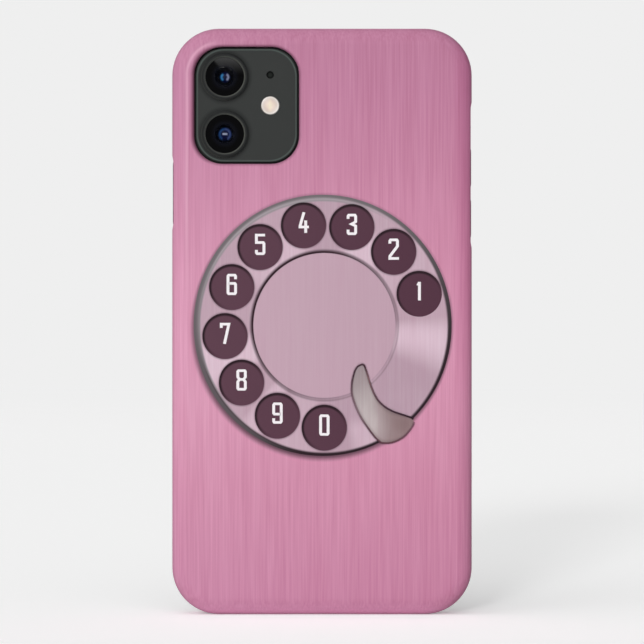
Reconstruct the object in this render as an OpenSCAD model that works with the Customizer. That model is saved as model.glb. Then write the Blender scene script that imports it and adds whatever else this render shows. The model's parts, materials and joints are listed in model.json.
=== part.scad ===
// Cased telephone: a slim two-camera pocket telephone in a hard moulded shell.
// Millimetres. +Z is up along the handset, -Y is the back with the cameras, +Y is the screen.
// The origin is at the middle of the end that the case stands on.
//
// Every piece is drawn lying flat and then stood up by upright(): x runs across the handset,
// y is the height above the standing end, and z is the depth, from 0 at the rim in front of
// the screen to case_t at the back of the case.

/* [Handset body] */
// Width of the handset without its case
phone_w = 75.7; // [68:0.1:84]
// Height of the handset without its case
phone_h = 150.9; // [135:0.1:168]
// Thickness of the handset from screen glass to back glass
phone_t = 8.3; // [7.8:0.1:9.5]
// Corner radius of the handset's outline
corner_r = 10.8; // [10:0.1:14]
// Thickness of the metal side band
frame_wall = 2.6; // [2.2:0.1:3]
// Thickness of the screen's cover glass
front_glass_t = 0.8; // [0.6:0.05:1]
// Thickness of the back glass
back_glass_t = 0.8; // [0.6:0.05:1]
// Thickness of the sealing gasket under the screen glass
gasket_t = 0.15; // [0.1:0.05:0.25]
// Thickness of the plate behind the battery
mid_plate_t = 0.5; // [0.4:0.05:0.7]

/* [Case] */
// Side wall of the case at its thinnest
case_wall = 1.5; // [1.2:0.1:2]
// Back wall of the case
case_back = 1.5; // [1.2:0.1:2]
// Gap between the case and the handset
case_snug = 0.05; // [0.03:0.01:0.1]
// How far the case stands proud of the screen glass
lip_rise = 0.75; // [0.5:0.05:1.2]
// How far the case's lip reaches over the screen's edge
lip_reach = 2.4; // [1.8:0.1:2.6]
// Width of the rounding along the case's back edge
back_round_w = 4.5; // [4:0.1:5.5]
// Depth of the rounding along the case's back edge
back_round_d = 3.6; // [3.3:0.1:4]
// Tighter radius where that rounding meets the side wall
back_round_r = 3; // [2.6:0.1:3.1]
// Radius of the case's front edge
front_round_r = 1.2; // [0.8:0.1:1.4]
// Rounding of the mouths of the case's cut-outs
mouth_r = 0.6; // [0.3:0.1:0.8]

/* [Cameras] */
// Width of the camera opening in the case
camera_open_w = 27.5; // [26.5:0.1:29]
// Height of the camera opening in the case
camera_open_h = 30.7; // [30:0.1:33]
// Corner radius of the camera opening
camera_open_r = 7.4; // [6.5:0.1:8]
// Distance from the case's side to the camera opening
camera_from_side = 5.9; // [5.6:0.1:7]
// Distance from the case's top to the camera opening
camera_from_top = 5; // [4.6:0.1:6]
// Gap between the camera opening and the raised plateau in it
plateau_gap = 0.45; // [0.3:0.05:0.6]
// Height of the plateau above the back glass
plateau_rise = 0.8; // [0.6:0.05:0.85]
// Distance between the two lens centres
lens_pitch = 15; // [14:0.1:15.5]
// Distance from the camera opening's outer side to the lens centres
lens_from_side = 8; // [7.5:0.1:8.5]
// Distance from the camera opening's inner side to the flash and microphone
flash_from_side = 7.6; // [6.5:0.1:8]
// Outer radius of a lens ring
ring_r = 6.3; // [6.1:0.05:6.5]
// Radius of a lens cover glass
cover_r = 5; // [4.8:0.05:5.3]
// Height of a lens ring above the plateau
ring_rise = 0.6; // [0.4:0.05:0.65]
// Room round a lens barrel inside its ring
barrel_play = 0.5; // [0.3:0.05:0.7]
// Focusing travel of the lower lens
focus_travel = 0.3; // [0.2:0.05:0.4]
// Radius of the flash window
flash_r = 2.5; // [2:0.1:2.8]
// Height of the rear microphone above the flash
mic_above_flash = 8; // [6:0.1:9]

/* [Buttons] */
// Distance from the case's top to the middle of the ring switch
ring_switch_from_top = 23.4; // [21:0.1:26]
// Distance from the middle of the ring switch to the middle of the volume up button
ring_to_volume = 13.1; // [11:0.1:15]
// Distance between the middles of the two volume buttons
volume_pitch = 13.4; // [12:0.1:16]
// Distance from the case's top to the middle of the side button
side_button_from_top = 43.2; // [36:0.1:50]
// Length of the side button
side_button_l = 16.6; // [14:0.1:19]
// Length of each volume button
volume_button_l = 10.1; // [8:0.1:11.4]
// Length of the ring switch
ring_switch_l = 5.1; // [4:0.1:5.4]
// Width of the buttons across the handset's thickness
button_w = 3; // [2.4:0.1:3.2]
// How far the buttons stand proud of the side band
button_proud = 1.45; // [0.8:0.05:1.5]
// Travel of a pressed button
button_travel = 0.35; // [0.2:0.05:0.4]
// Width of the ring switch's cap across the handset's thickness
ring_cap_w = 1.9; // [1.6:0.1:2]
// Travel of the ring switch
ring_travel = 1.1; // [0.8:0.1:1.2]
// Running gap round every moving piece
slide_gap = 0.08; // [0.05:0.01:0.1]
// Thickness of the flanges that hold the buttons in
flange_t = 0.5; // [0.4:0.05:0.6]
// How far those flanges reach past the buttons
flange_over = 0.6; // [0.4:0.05:0.7]
// Clear border between the buttons and the case's windows
window_margin = 1.3; // [0.8:0.1:1.6]

/* [Standing end] */
// Width of the case's cut-out for the charging plug
port_cut_w = 21.5; // [19.3:0.1:23]
// Width of each of the case's two sound slots
sound_cut_w = 11.5; // [10.3:0.1:12.5]
// Height of the sound slots across the thickness
sound_cut_t = 2.8; // [2.4:0.1:3.2]
// Width of the rib between the plug's cut-out and a sound slot
sound_rib_w = 2.1; // [1.6:0.1:2.6]
// Inner width of the charging socket
socket_w = 8.4; // [8:0.1:9]
// Inner height of the charging socket
socket_t = 2.6; // [2.4:0.05:2.9]
// Depth of the charging socket
socket_depth = 6.4; // [5.5:0.1:6.8]
// Number of holes in each row of sound holes
sound_holes = 5; // [4:1:5]
// Radius of a sound hole
sound_hole_r = 0.65; // [0.5:0.05:0.75]
// Distance from the middle of the port to each end screw
end_screw_x = 7.6; // [7.2:0.1:8.2]

/* [Insides] */
// Height of the bay for the loudspeaker and the vibration motor above the standing end
end_bay_h = 28; // [25:0.1:31]
// Clear room round the battery and the circuit board
board_clear = 2; // [1:0.1:3]
// Width of the circuit board
board_w = 18; // [16:0.1:20]
// Distance from the side band to the circuit board
board_from_band = 3.6; // [3:0.1:5]
// Thickness of the circuit board
board_t = 1.2; // [0.8:0.1:1.4]
// Outer radius of the charging coil
coil_r = 23.5; // [20:0.5:24.5]
// Depth of the vibration motor
vibration_t = 3.9; // [3.4:0.1:4]
// Height of the vibration motor along the handset
vibration_h = 9.4; // [8:0.1:10]
// Travel of the vibration weight each way
weight_travel = 0.5; // [0.3:0.05:0.8]
// Gap between fixed neighbours inside the handset
fit_gap = 0.1; // [0.05:0.05:0.15]

/* [Hidden] */
$fn = 64;

case_w = phone_w + 2 * (case_wall + case_snug);
case_h = phone_h + 2 * (case_wall + case_snug);
case_t = lip_rise + phone_t + case_snug + case_back;
case_corner_r = corner_r + case_wall + case_snug;

// Depths, from the rim in front of the screen.
z_screen = lip_rise;
z_panel = z_screen + front_glass_t;
z_frame_front = z_panel + gasket_t;
z_mid = z_screen + phone_t / 2;
z_back = z_screen + phone_t;
z_frame_back = z_back - back_glass_t;
z_plate = z_frame_back - mid_plate_t;
z_plateau = z_back + plateau_rise;
panel_t = 1;
shield_t = 0.3;
z_inside = z_panel + panel_t + shield_t;

// Heights and widths.
foot = case_wall + case_snug;
mid_y = case_h / 2;
inner_x = phone_w / 2 - frame_wall;
inner_y0 = foot + frame_wall;
inner_y1 = case_h - foot - frame_wall;
over = 1;

// Small screws that hold the board and the camera bracket to the plate.
screw_r = 0.6;
screw_head_r = 1.1;
screw_head_t = 0.4;
screw_grip = 2.2;

// Camera places.
camera_x = -case_w / 2 + camera_from_side + camera_open_w / 2;
camera_y = case_h - camera_from_top - camera_open_h / 2;
lens_x = -case_w / 2 + camera_from_side + lens_from_side;
upper_lens_y = camera_y + lens_pitch / 2;
lower_lens_y = camera_y - lens_pitch / 2;
flash_x = -case_w / 2 + camera_from_side + camera_open_w - flash_from_side;
mic_y = camera_y + mic_above_flash;

// Button places.
ring_switch_z = case_h - ring_switch_from_top;
volume_up_z = ring_switch_z - ring_to_volume;
volume_down_z = volume_up_z - volume_pitch;
side_button_z = case_h - side_button_from_top;

// ---------------------------------------------------------------- shared shapes

// Stands a flat-drawn piece up on the origin.
module upright() {
    translate([0, case_t / 2, 0]) rotate([90, 0, 0]) children();
}

// Rounded rectangle about the origin.
module rounded_rect(w, h, r) {
    square([w - 2 * r, h], center = true);
    square([w, h - 2 * r], center = true);
    for (sx = [-1, 1], sy = [-1, 1])
        translate([sx * (w / 2 - r), sy * (h / 2 - r)]) circle(r = r);
}

// Slot with round ends, l long and w wide.
module slot(l, w) {
    square([l - w, w], center = true);
    for (s = [-1, 1]) translate([s * (l - w) / 2, 0]) circle(r = w / 2);
}

// Carries a half profile round a rounded rectangle. In the profile, x is the distance
// outwards from the corner's axis and y is the height.
module carried_round(w, h, r) {
    for (quarter = [0 : 3]) {
        sx = (quarter == 0 || quarter == 3) ? 1 : -1;
        sy = quarter < 2 ? 1 : -1;
        translate([sx * (w / 2 - r), sy * (h / 2 - r), 0])
            rotate([0, 0, 90 * quarter]) rotate_extrude(angle = 90) children();
    }
    for (turn = [0, 180]) rotate([0, 0, turn]) {
        translate([w / 2 - r, h / 2 - r, 0])
            rotate([90, 0, 0]) linear_extrude(height = h - 2 * r) children();
        translate([-w / 2 + r, h / 2 - r, 0])
            rotate([90, 0, 90]) linear_extrude(height = w - 2 * r) children();
    }
}

// Solid slab between two heights whose rim has the half profile given.
module rimmed_slab(w, h, r, z0, z1) {
    carried_round(w, h, r) children();
    translate([-w / 2 + r, -h / 2 + r, z0]) cube([w - 2 * r, h - 2 * r, z1 - z0]);
}

// What a rounding of two tangent arcs takes off a square corner. The corner is at the
// origin with the material at x < 0 and y > 0. The rounding is a wide and b deep, and
// side_r is its radius where it meets the side.
module two_arc_corner(a, b, side_r) {
    face_r = (pow(a - side_r, 2) + b * b - side_r * side_r) / (2 * (b - side_r));
    face_c = [-a, face_r];
    side_c = [-side_r, b];
    along = (side_c - face_c) / norm(side_c - face_c);
    meet = face_c + along * face_r;
    past = face_c + along * (face_r + over);
    difference() {
        polygon([[-a, 0], [-a, -over], [over, -over], past, meet]);
        translate(face_c) circle(r = face_r);
    }
    difference() {
        polygon([meet, past, [over, -over], [over, b], [0, b]]);
        translate(side_c) circle(r = side_r);
    }
}

// What a plain rounding takes off the same corner.
module one_arc_corner(r) {
    difference() {
        translate([-r, -over]) square([r + over, r + over]);
        translate([-r, r]) circle(r = r);
    }
}

// Widens the mouth of a rounded opening with a fillet. The face is at z = 0.
module mouth_fillet(w, h, r, f) {
    carried_round(w + 2 * f, h + 2 * f, r + f)
        difference() {
            translate([r, -f]) square([f, f + over]);
            translate([r + f, -f]) circle(r = f);
        }
}

// Rounded block standing on z = 0 whose top edge is rounded.
module soft_block(w, h, r, t, edge) {
    rimmed_slab(w, h, r, 0, t)
        difference() {
            square([r, t]);
            translate([r, t]) mirror([0, 1]) one_arc_corner(edge);
        }
}

// Outline of the handset, drawn in by i.
module phone_outline(i) {
    translate([0, mid_y]) rounded_rect(phone_w - 2 * i, phone_h - 2 * i, corner_r - i);
}

// Half profile of the handset's full-round side, grown by g.
module body_profile(g) {
    intersection() {
        union() {
            translate([corner_r - phone_t / 2, z_mid]) circle(r = phone_t / 2 + g);
            translate([0, z_screen - g]) square([corner_r - phone_t / 2, phone_t + 2 * g]);
        }
        translate([0, z_screen - g]) square([corner_r + over, phone_t + 2 * g]);
    }
}

// The handset's body between two depths.
module body_layer(z0, z1, g = 0) {
    translate([0, mid_y, 0])
        rimmed_slab(phone_w, phone_h, corner_r, z0, z1)
            intersection() {
                body_profile(g);
                translate([0, z0]) square([corner_r + over, z1 - z0]);
            }
}

// The space inside the side band between two depths.
module inside(z0, z1, gap = fit_gap) {
    translate([0, 0, z0]) linear_extrude(height = z1 - z0) phone_outline(frame_wall + gap);
}

// Block between two opposite corners.
module block(low, high) {
    translate(low) cube(high - low);
}

// Lays a shape drawn in (height, depth) into the right-hand side, growing outwards from x.
module on_side(x, height, depth) {
    translate([x, height, depth]) rotate([90, 0, 90]) children();
}

// Lays a shape drawn in (across, depth) into the standing end, growing upwards from y.
module on_end(across, y, depth) {
    translate([across, y, depth]) rotate([-90, 0, 0]) children();
}

// ---------------------------------------------------------------- case

window_back_extra = 0.7;
window_depth0 = z_mid - button_w / 2 - window_margin;
window_depth1 = z_mid + button_w / 2 + window_margin + window_back_extra;
window_r = 2;

// A window through the right-hand side wall of the case between two heights.
module side_window(y0, y1) {
    w = y1 - y0;
    h = window_depth1 - window_depth0;
    on_side(phone_w / 2 - over, (y0 + y1) / 2, (window_depth0 + window_depth1) / 2) {
        linear_extrude(height = case_wall + case_snug + 2 * over) rounded_rect(w, h, window_r);
        translate([0, 0, case_wall + case_snug + over]) mouth_fillet(w, h, window_r, mouth_r);
    }
}

// A cut-out through the standing end of the case.
module end_cut(across, w, t, r) {
    translate([0, 0, z_mid]) rotate([90, 0, 0]) translate([across, 0, -foot - over]) {
        linear_extrude(height = foot + 2 * over) rounded_rect(w, t, r);
        translate([0, 0, foot + over]) mouth_fillet(w, t, r, mouth_r / 2);
    }
}

port_cut_less = 0.8;
port_cut_t = window_depth1 - window_depth0 - port_cut_less;
sound_from_port = (port_cut_w + sound_cut_w) / 2 + sound_rib_w;

module case_shell() {
    color([0.80, 0.54, 0.66]) upright() difference() {
        translate([0, mid_y, 0])
            rimmed_slab(case_w, case_h, case_corner_r, 0, case_t)
                difference() {
                    square([case_corner_r, case_t]);
                    translate([case_corner_r, case_t]) mirror([0, 1])
                        two_arc_corner(back_round_w, back_round_d, back_round_r);
                    translate([case_corner_r, 0]) one_arc_corner(front_round_r);
                }
        body_layer(z_screen - case_snug, z_back + case_snug, case_snug);
        translate([0, 0, -over]) linear_extrude(height = z_mid + over) phone_outline(lip_reach);
        translate([camera_x, camera_y, z_mid])
            linear_extrude(height = case_t) rounded_rect(camera_open_w, camera_open_h, camera_open_r);
        translate([camera_x, camera_y, case_t])
            mouth_fillet(camera_open_w, camera_open_h, camera_open_r, mouth_r);
        mirror([1, 0, 0])
            side_window(side_button_z - side_button_l / 2 - window_margin,
                        side_button_z + side_button_l / 2 + window_margin);
        side_window(volume_down_z - volume_button_l / 2 - 2 * window_margin,
                    ring_switch_z + ring_switch_l / 2 + window_margin);
        end_cut(0, port_cut_w, port_cut_t, port_cut_t / 2 - 0.2);
        for (s = [-1, 1]) end_cut(s * sound_from_port, sound_cut_w, sound_cut_t, sound_cut_t / 2 - 0.2);
    }
}

// ---------------------------------------------------------------- housing of the handset

plateau_edge = 0.35;
mic_r = 1;

// Holes that the plateau and the back glass share.
module camera_holes() {
    for (y = [upper_lens_y, lower_lens_y])
        translate([lens_x, y, z_mid]) cylinder(r = sleeve_r + fit_gap / 2, h = case_t);
    translate([flash_x, camera_y, z_mid]) cylinder(r = flash_r + fit_gap / 2, h = case_t);
    translate([flash_x, mic_y, z_mid]) cylinder(r = mic_r * 0.6, h = case_t);
    translate([flash_x, mic_y, z_back]) cylinder(r = mic_r, h = case_t);
}

module back_glass() {
    color([0.20, 0.21, 0.21]) upright() difference() {
        union() {
            body_layer(z_frame_back, z_back);
            translate([camera_x, camera_y, z_back])
                soft_block(camera_open_w - 2 * plateau_gap, camera_open_h - 2 * plateau_gap,
                           camera_open_r - plateau_gap, plateau_rise, plateau_edge);
        }
        camera_holes();
    }
}

// Slot through the right-hand side band, l long, w wide, with corners of radius r.
module band_slot(y, l, w, r, depth = z_mid) {
    on_side(inner_x - over, y, depth)
        linear_extrude(height = frame_wall + 2 * over) rounded_rect(l, w, r);
}

// Slot for a pressed button of length l.
module button_slot(y, l) {
    band_slot(y, l + 2 * slide_gap, button_w + 2 * slide_gap, button_round + slide_gap);
}

// Half profile of the side band, thick counting from its outer side.
module band_profile(thick) {
    intersection() {
        body_profile(0);
        translate([corner_r - thick, z_frame_front])
            square([thick + over, z_frame_back - z_frame_front]);
    }
}

module side_band(thick = frame_wall) {
    translate([0, mid_y, 0]) carried_round(phone_w, phone_h, corner_r) band_profile(thick);
}

// Where the band is broken by moulded plastic for the aerials.
break_w = 1.2;
break_deep = 1;
break_from_end = 16;

module break_places(gap) {
    w = break_w - 2 * gap;
    for (y = [foot + break_from_end, case_h - foot - break_from_end])
        block([-case_w / 2, y - w / 2, 0], [case_w / 2, y + w / 2, case_t]);
}

module sim_slot(gap) {
    mirror([1, 0, 0])
        band_slot(sim_y, sim_face_l + 2 * gap, sim_face_w + 2 * gap, sim_face_w * 0.48 + gap, sim_z);
}

module end_holes() {
    on_end(0, foot - over, z_mid)
        linear_extrude(height = frame_wall + 2 * over)
            rounded_rect(socket_outer_w + 2 * fit_gap, socket_outer_t + 2 * fit_gap, socket_outer_t * 0.48);
    for (s = [-1, 1]) {
        for (i = [0 : sound_holes - 1])
            on_end(s * sound_from_port + (i - (sound_holes - 1) / 2) * sound_pitch, foot - over, z_mid)
                cylinder(r = sound_hole_r, h = frame_wall + 2 * over);
        on_end(s * end_screw_x, foot - over, z_mid) {
            cylinder(r = end_head_r + fit_gap / 2, h = over + end_head_deep);
            cylinder(r = end_shank_r, h = frame_wall + 2 * over);
        }
    }
}

module phone_frame() {
    color([0.17, 0.17, 0.18]) upright() difference() {
        side_band();
        intersection() {
            difference() {
                side_band();
                side_band_core();
            }
            break_places(0);
        }
        mirror([1, 0, 0]) button_slot(side_button_z, side_button_l);
        button_slot(volume_up_z, volume_button_l);
        button_slot(volume_down_z, volume_button_l);
        band_slot(ring_switch_z, ring_switch_l + 2 * slide_gap, ring_cap_w + ring_travel + 2 * slide_gap,
                  ring_cap_round + slide_gap);
        sim_slot(fit_gap);
        end_holes();
    }
}

// What is left of the band inside the aerial breaks.
module side_band_core() {
    linear_extrude(height = case_t) phone_outline(break_deep);
}

module antenna_breaks() {
    color([0.13, 0.13, 0.14]) upright() difference() {
        intersection() {
            side_band();
            break_places(0);
        }
        side_band_core();
    }
}

post_r = 1;
window_step = 1.5;

// Plate with a window for the cameras, one for the coil, a notch for the ring switch's
// flange, and posts that the camera bracket is screwed to.
module mid_plate() {
    notch_x = inner_x - 2 * slide_gap - flange_t;
    notch_l = ring_switch_l + 2 * flange_over + 4 * fit_gap;
    color([0.55, 0.56, 0.58]) upright() difference() {
        union() {
            inside(z_plate, z_frame_back);
            bracket_screw_places() translate([0, 0, z_sensor])
                cylinder(r = post_r, h = z_plate - z_sensor + over / 4);
        }
        translate([camera_x, camera_y, z_plate - over])
            linear_extrude(height = 2 * over + mid_plate_t)
                rounded_rect(camera_open_w - 2 * window_step, lens_pitch + housing_w + 2 * fit_gap, housing_r);
        translate([0, mid_y, z_plate - over]) cylinder(r = coil_r + fit_gap, h = 2 * over + mid_plate_t);
        block([notch_x, ring_switch_z - notch_l / 2, z_plate - over],
              [inner_x, ring_switch_z + notch_l / 2, z_frame_back + over]);
        bracket_screw_places() translate([0, 0, z_sensor - over])
            cylinder(r = screw_r + fit_gap / 2, h = over + screw_grip);
        board_screw_places() cylinder(r = screw_r + fit_gap / 2, h = case_t);
    }
}

// ---------------------------------------------------------------- screen

earpiece_l = 10.5;
earpiece_w = 1.4;
earpiece_mesh_t = 0.35;
earpiece_y = case_h - foot - phone_t / 2 - earpiece_w;
notch_w = 34;
notch_h = 4.6;
panel_clear = 0.15;
panel_inset = frame_wall + slide_gap + flange_t + button_travel + panel_clear;

module front_glass() {
    color([0.03, 0.03, 0.035]) upright() difference() {
        body_layer(z_screen, z_panel);
        translate([0, earpiece_y, 0]) linear_extrude(height = z_mid) slot(earpiece_l, earpiece_w);
    }
}

module screen_gasket() {
    ring_edge = phone_t / 2 - sqrt(pow(phone_t / 2, 2) - pow(z_mid - z_panel, 2)) + panel_clear;
    color([0.08, 0.08, 0.08]) upright() translate([0, 0, z_panel])
        linear_extrude(height = gasket_t) difference() {
            phone_outline(ring_edge);
            phone_outline(frame_wall);
        }
}

module earpiece_mesh() {
    color([0.18, 0.18, 0.19]) upright() translate([0, earpiece_y, z_panel - earpiece_mesh_t])
        linear_extrude(height = earpiece_mesh_t) slot(earpiece_l - 2 * fit_gap, earpiece_w - 2 * fit_gap);
}

module display_panel() {
    color([0.05, 0.05, 0.06]) upright() translate([0, 0, z_panel])
        linear_extrude(height = panel_t) difference() {
            phone_outline(panel_inset);
            translate([0, case_h - foot - panel_inset - notch_h / 2 + over / 2])
                square([notch_w + 2 * fit_gap, notch_h + over], center = true);
        }
}

module display_shield() {
    color([0.62, 0.63, 0.65]) upright() translate([0, 0, z_panel + panel_t])
        linear_extrude(height = shield_t) difference() {
            phone_outline(panel_inset);
            translate([0, case_h - foot - panel_inset - notch_h / 2 + over / 2])
                square([notch_w + 2 * fit_gap, notch_h + over], center = true);
        }
}

// The bracket fills the display's notch and holds the front camera and the earpiece.
bracket_y1 = case_h - foot - panel_inset;
bracket_y0 = bracket_y1 - notch_h + fit_gap;
front_camera_x = -9.4;
front_camera_r = 1.5;
front_camera_y = (bracket_y0 + bracket_y1) / 2;
front_camera_w = 4.4;
front_camera_h = 4;
front_camera_t = 1.6;
front_camera_deep = 0.5;
speaker_over = 1.25;
speaker_drop = 3;
earpiece_speaker_t = 2.6;
speaker_throat = 0.8;

module front_sensor_bracket() {
    color([0.28, 0.28, 0.30]) upright() difference() {
        block([-notch_w / 2 + fit_gap, bracket_y0, z_panel], [notch_w / 2 - fit_gap, bracket_y1, z_inside]);
        translate([front_camera_x, front_camera_y, 0]) cylinder(r = front_camera_r + fit_gap / 2, h = case_t);
        translate([0, earpiece_y, 0]) linear_extrude(height = case_t) slot(earpiece_l, earpiece_w);
    }
}

module front_camera() {
    color([0.05, 0.05, 0.09]) upright() translate([front_camera_x, front_camera_y, z_panel])
        difference() {
            union() {
                cylinder(r = front_camera_r, h = z_inside - z_panel);
                translate([-front_camera_w / 2, -front_camera_h / 2, z_inside - z_panel])
                    cube([front_camera_w, front_camera_h, front_camera_t]);
            }
            translate([0, 0, -over]) cylinder(r = front_camera_r * 0.55, h = over + front_camera_deep);
        }
}

module earpiece_speaker() {
    color([0.10, 0.10, 0.11]) upright() difference() {
        block([-earpiece_l / 2 - speaker_over, bracket_y0 - speaker_drop, z_inside],
              [earpiece_l / 2 + speaker_over, bracket_y1, z_inside + earpiece_speaker_t]);
        translate([0, earpiece_y, z_inside - over]) linear_extrude(height = over + speaker_throat)
            slot(earpiece_l, earpiece_w);
    }
}

// ---------------------------------------------------------------- cameras

sleeve_wall = 0.45;
sleeve_r = cover_r + sleeve_wall;
seat_w = 0.4;
seat_r = cover_r - seat_w;
barrel_r = seat_r - barrel_play;
cover_t = 0.55;
cover_sink = 0.1;
ring_edge_w = 0.45;
ring_edge_d = 0.35;
ring_lead_w = 0.35;
ring_lead_d = 0.2;
z_ring = z_plateau + ring_rise;
z_cover = z_ring - cover_sink;
z_housing_top = z_frame_back - fit_gap;
bracket_t = 0.35;
z_bracket = z_inside + screw_head_t + fit_gap / 2;
z_sensor = z_bracket + bracket_t;
sensor_t = 0.3;
z_housing = z_sensor + sensor_t;
housing_w = 10.6;
housing_r = 1;
housing_floor = 0.6;
barrel_gap = 0.1;
barrel_clear = 0.25;
barrel_step = 0.35;
z_barrel_top = z_cover - cover_t - focus_travel - barrel_clear;
z_barrel_base = z_housing + housing_floor + 0.3;

// Metal ring round a lens, with a sleeve down through the plateau and a seat for the cover.
module lens_ring(y) {
    color([0.22, 0.22, 0.23]) upright() translate([lens_x, y, 0]) rotate_extrude()
        difference() {
            union() {
                translate([seat_r, z_frame_back]) square([sleeve_r - seat_r, z_ring - z_frame_back]);
                translate([sleeve_r - over, z_plateau]) square([ring_r - sleeve_r + over, ring_rise]);
            }
            translate([0, z_cover - cover_t]) square([cover_r + fit_gap / 2, over + cover_t]);
            translate([ring_r, z_ring]) polygon([[-ring_edge_w, 0], [0, over], [over, 0], [0, -ring_edge_d]]);
            translate([cover_r, z_ring]) polygon([[-over, 0], [0, over], [ring_lead_w, 0], [0, -ring_lead_d]]);
        }
}

module lens_cover(y) {
    color([0.12, 0.13, 0.16, 0.5]) upright() translate([lens_x, y, z_cover - cover_t])
        cylinder(r = cover_r, h = cover_t);
}

// Barrel stepped down to a front opening of radius eye_r.
module lens_barrel(y, eye_r) {
    color([0.03, 0.03, 0.03]) upright() translate([lens_x, y, 0]) rotate_extrude()
        difference() {
            translate([0, z_barrel_base]) square([barrel_r, z_barrel_top - z_barrel_base]);
            translate([0, z_barrel_base - over]) square([eye_r, case_t]);
            translate([0, z_barrel_top - barrel_step]) square([barrel_r - barrel_step, over]);
            translate([0, z_barrel_top - 2 * barrel_step]) square([barrel_r - 2.6 * barrel_step, over]);
            translate([0, z_barrel_top - 3 * barrel_step]) square([eye_r + 1.3 * barrel_step, over]);
        }
}

// Domed front element seated in the barrel.
module lens_element(y, eye_r) {
    dome_r = 1.7 * eye_r;
    base = z_barrel_top - 3 * barrel_step;
    rise = dome_r - sqrt(dome_r * dome_r - eye_r * eye_r);
    color([0.10, 0.16, 0.45]) upright() translate([lens_x, y, 0]) intersection() {
        translate([0, 0, base - housing_floor]) cylinder(r = eye_r - 0.02, h = dome_r);
        translate([0, 0, base + rise - dome_r]) sphere(r = dome_r);
    }
}

module camera_housing(y) {
    color([0.35, 0.35, 0.37]) upright() difference() {
        translate([lens_x, y, z_housing])
            linear_extrude(height = z_housing_top - z_housing) rounded_rect(housing_w, housing_w, housing_r);
        translate([lens_x, y, z_housing + housing_floor]) cylinder(r = barrel_r + barrel_gap, h = case_t);
    }
}

upper_eye_r = 1.5;
lower_eye_r = 2;

module upper_lens_ring() { lens_ring(upper_lens_y); }
module upper_lens_cover() { lens_cover(upper_lens_y); }
module upper_lens_barrel() { lens_barrel(upper_lens_y, upper_eye_r); }
module upper_lens_element() { lens_element(upper_lens_y, upper_eye_r); }
module upper_camera_housing() { camera_housing(upper_lens_y); }
module lower_lens_ring() { lens_ring(lower_lens_y); }
module lower_lens_cover() { lens_cover(lower_lens_y); }
module lower_lens_barrel() { lens_barrel(lower_lens_y, lower_eye_r); }
module lower_lens_element() { lens_element(lower_lens_y, lower_eye_r); }
module lower_camera_housing() { camera_housing(lower_lens_y); }

module camera_sensors() {
    color([0.12, 0.30, 0.20]) upright() for (y = [upper_lens_y, lower_lens_y])
        translate([lens_x - housing_w / 2, y - housing_w / 2, z_sensor]) cube([housing_w, housing_w, sensor_t]);
}

bracket_over = 2.4;
bracket_r = 1.2;
flash_module_w = 2 * (flash_r + 0.5);
flash_module_t = 1.6;
mic_body_w = 3.2;
mic_body_t = 1.2;
mic_mesh_t = 0.3;

// Places of the bracket's screws, at its two corners away from the handset's corner.
module bracket_screw_places() {
    for (s = [-1, 1])
        translate([lens_x + (housing_w + bracket_over) / 2,
                   camera_y + s * (lens_pitch + housing_w + bracket_over) / 2, 0]) children();
}

module camera_bracket() {
    color([0.60, 0.60, 0.62]) upright() difference() {
        intersection() {
            translate([lens_x, camera_y, z_bracket]) linear_extrude(height = bracket_t)
                rounded_rect(housing_w + 2 * bracket_over, lens_pitch + housing_w + 2 * bracket_over, bracket_r);
            inside(z_bracket, z_sensor);
        }
        bracket_screw_places() cylinder(r = screw_r + fit_gap / 2, h = case_t);
    }
}

module flash_window() {
    color([0.96, 0.90, 0.80]) upright() translate([flash_x, camera_y, z_housing_top])
        cylinder(r = flash_r, h = z_plateau - 0.05 - z_housing_top);
}

module flash_module() {
    color([0.85, 0.80, 0.45]) upright()
        translate([flash_x - flash_module_w / 2, camera_y - flash_module_w / 2, z_housing_top - flash_module_t])
            cube([flash_module_w, flash_module_w, flash_module_t]);
}

module rear_microphone() {
    color([0.05, 0.05, 0.05]) upright() {
        translate([flash_x, mic_y, z_back + 0.01]) cylinder(r = mic_r - fit_gap / 2, h = mic_mesh_t);
        translate([flash_x - mic_body_w / 2, mic_y - mic_body_w / 2, z_housing_top - mic_body_t])
            cube([mic_body_w, mic_body_w, mic_body_t]);
    }
}

// ---------------------------------------------------------------- buttons

button_edge = 0.35;
button_round = button_w * 0.48;
ring_cap_round = ring_cap_w * 0.4;
ring_scoop_r = 7;
ring_scoop_deep = 0.45;
ring_flange_w = ring_cap_w + 2 * ring_travel + 2 * slide_gap + 2 * fit_gap;
z_ring_rest = z_mid - ring_travel / 2;
switch_l = 4.8;
switch_w = 2.8;
switch_t = 1;
plunger_r = 0.9;
plunger_h = 0.6;
tab_t = 0.4;
ring_base_t = 1.8;
ring_base_over = 0.8;

// A button in the right-hand band: a cap with a round edge and a flange that holds it in.
module side_key(y, l) {
    back = inner_x - slide_gap - flange_t;
    on_side(back, y, z_mid) {
        soft_block(l, button_w, button_round, phone_w / 2 + button_proud - back, button_edge);
        translate([0, 0, flange_t / 2])
            cube([l + 2 * flange_over, button_w + 2 * flange_over, flange_t], center = true);
    }
}

// The press switch behind a button, on a tab that stands on the plate.
module press_switch(y) {
    face = inner_x - slide_gap - flange_t - button_travel - slide_gap;
    on_side(face, y, z_mid) {
        translate([0, 0, -plunger_h]) cylinder(r = plunger_r, h = plunger_h);
        translate([-switch_l / 2, -switch_w / 2, -plunger_h - switch_t])
            cube([switch_l, switch_w, switch_t]);
        translate([-switch_l / 2, -switch_w / 2, -plunger_h - switch_t - tab_t])
            cube([switch_l, z_plate - z_mid + switch_w / 2, tab_t]);
    }
}

module side_button() {
    color([0.24, 0.24, 0.25]) upright() mirror([1, 0, 0]) side_key(side_button_z, side_button_l);
}

module side_button_switch() {
    color([0.75, 0.75, 0.70]) upright() mirror([1, 0, 0]) press_switch(side_button_z);
}

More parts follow.
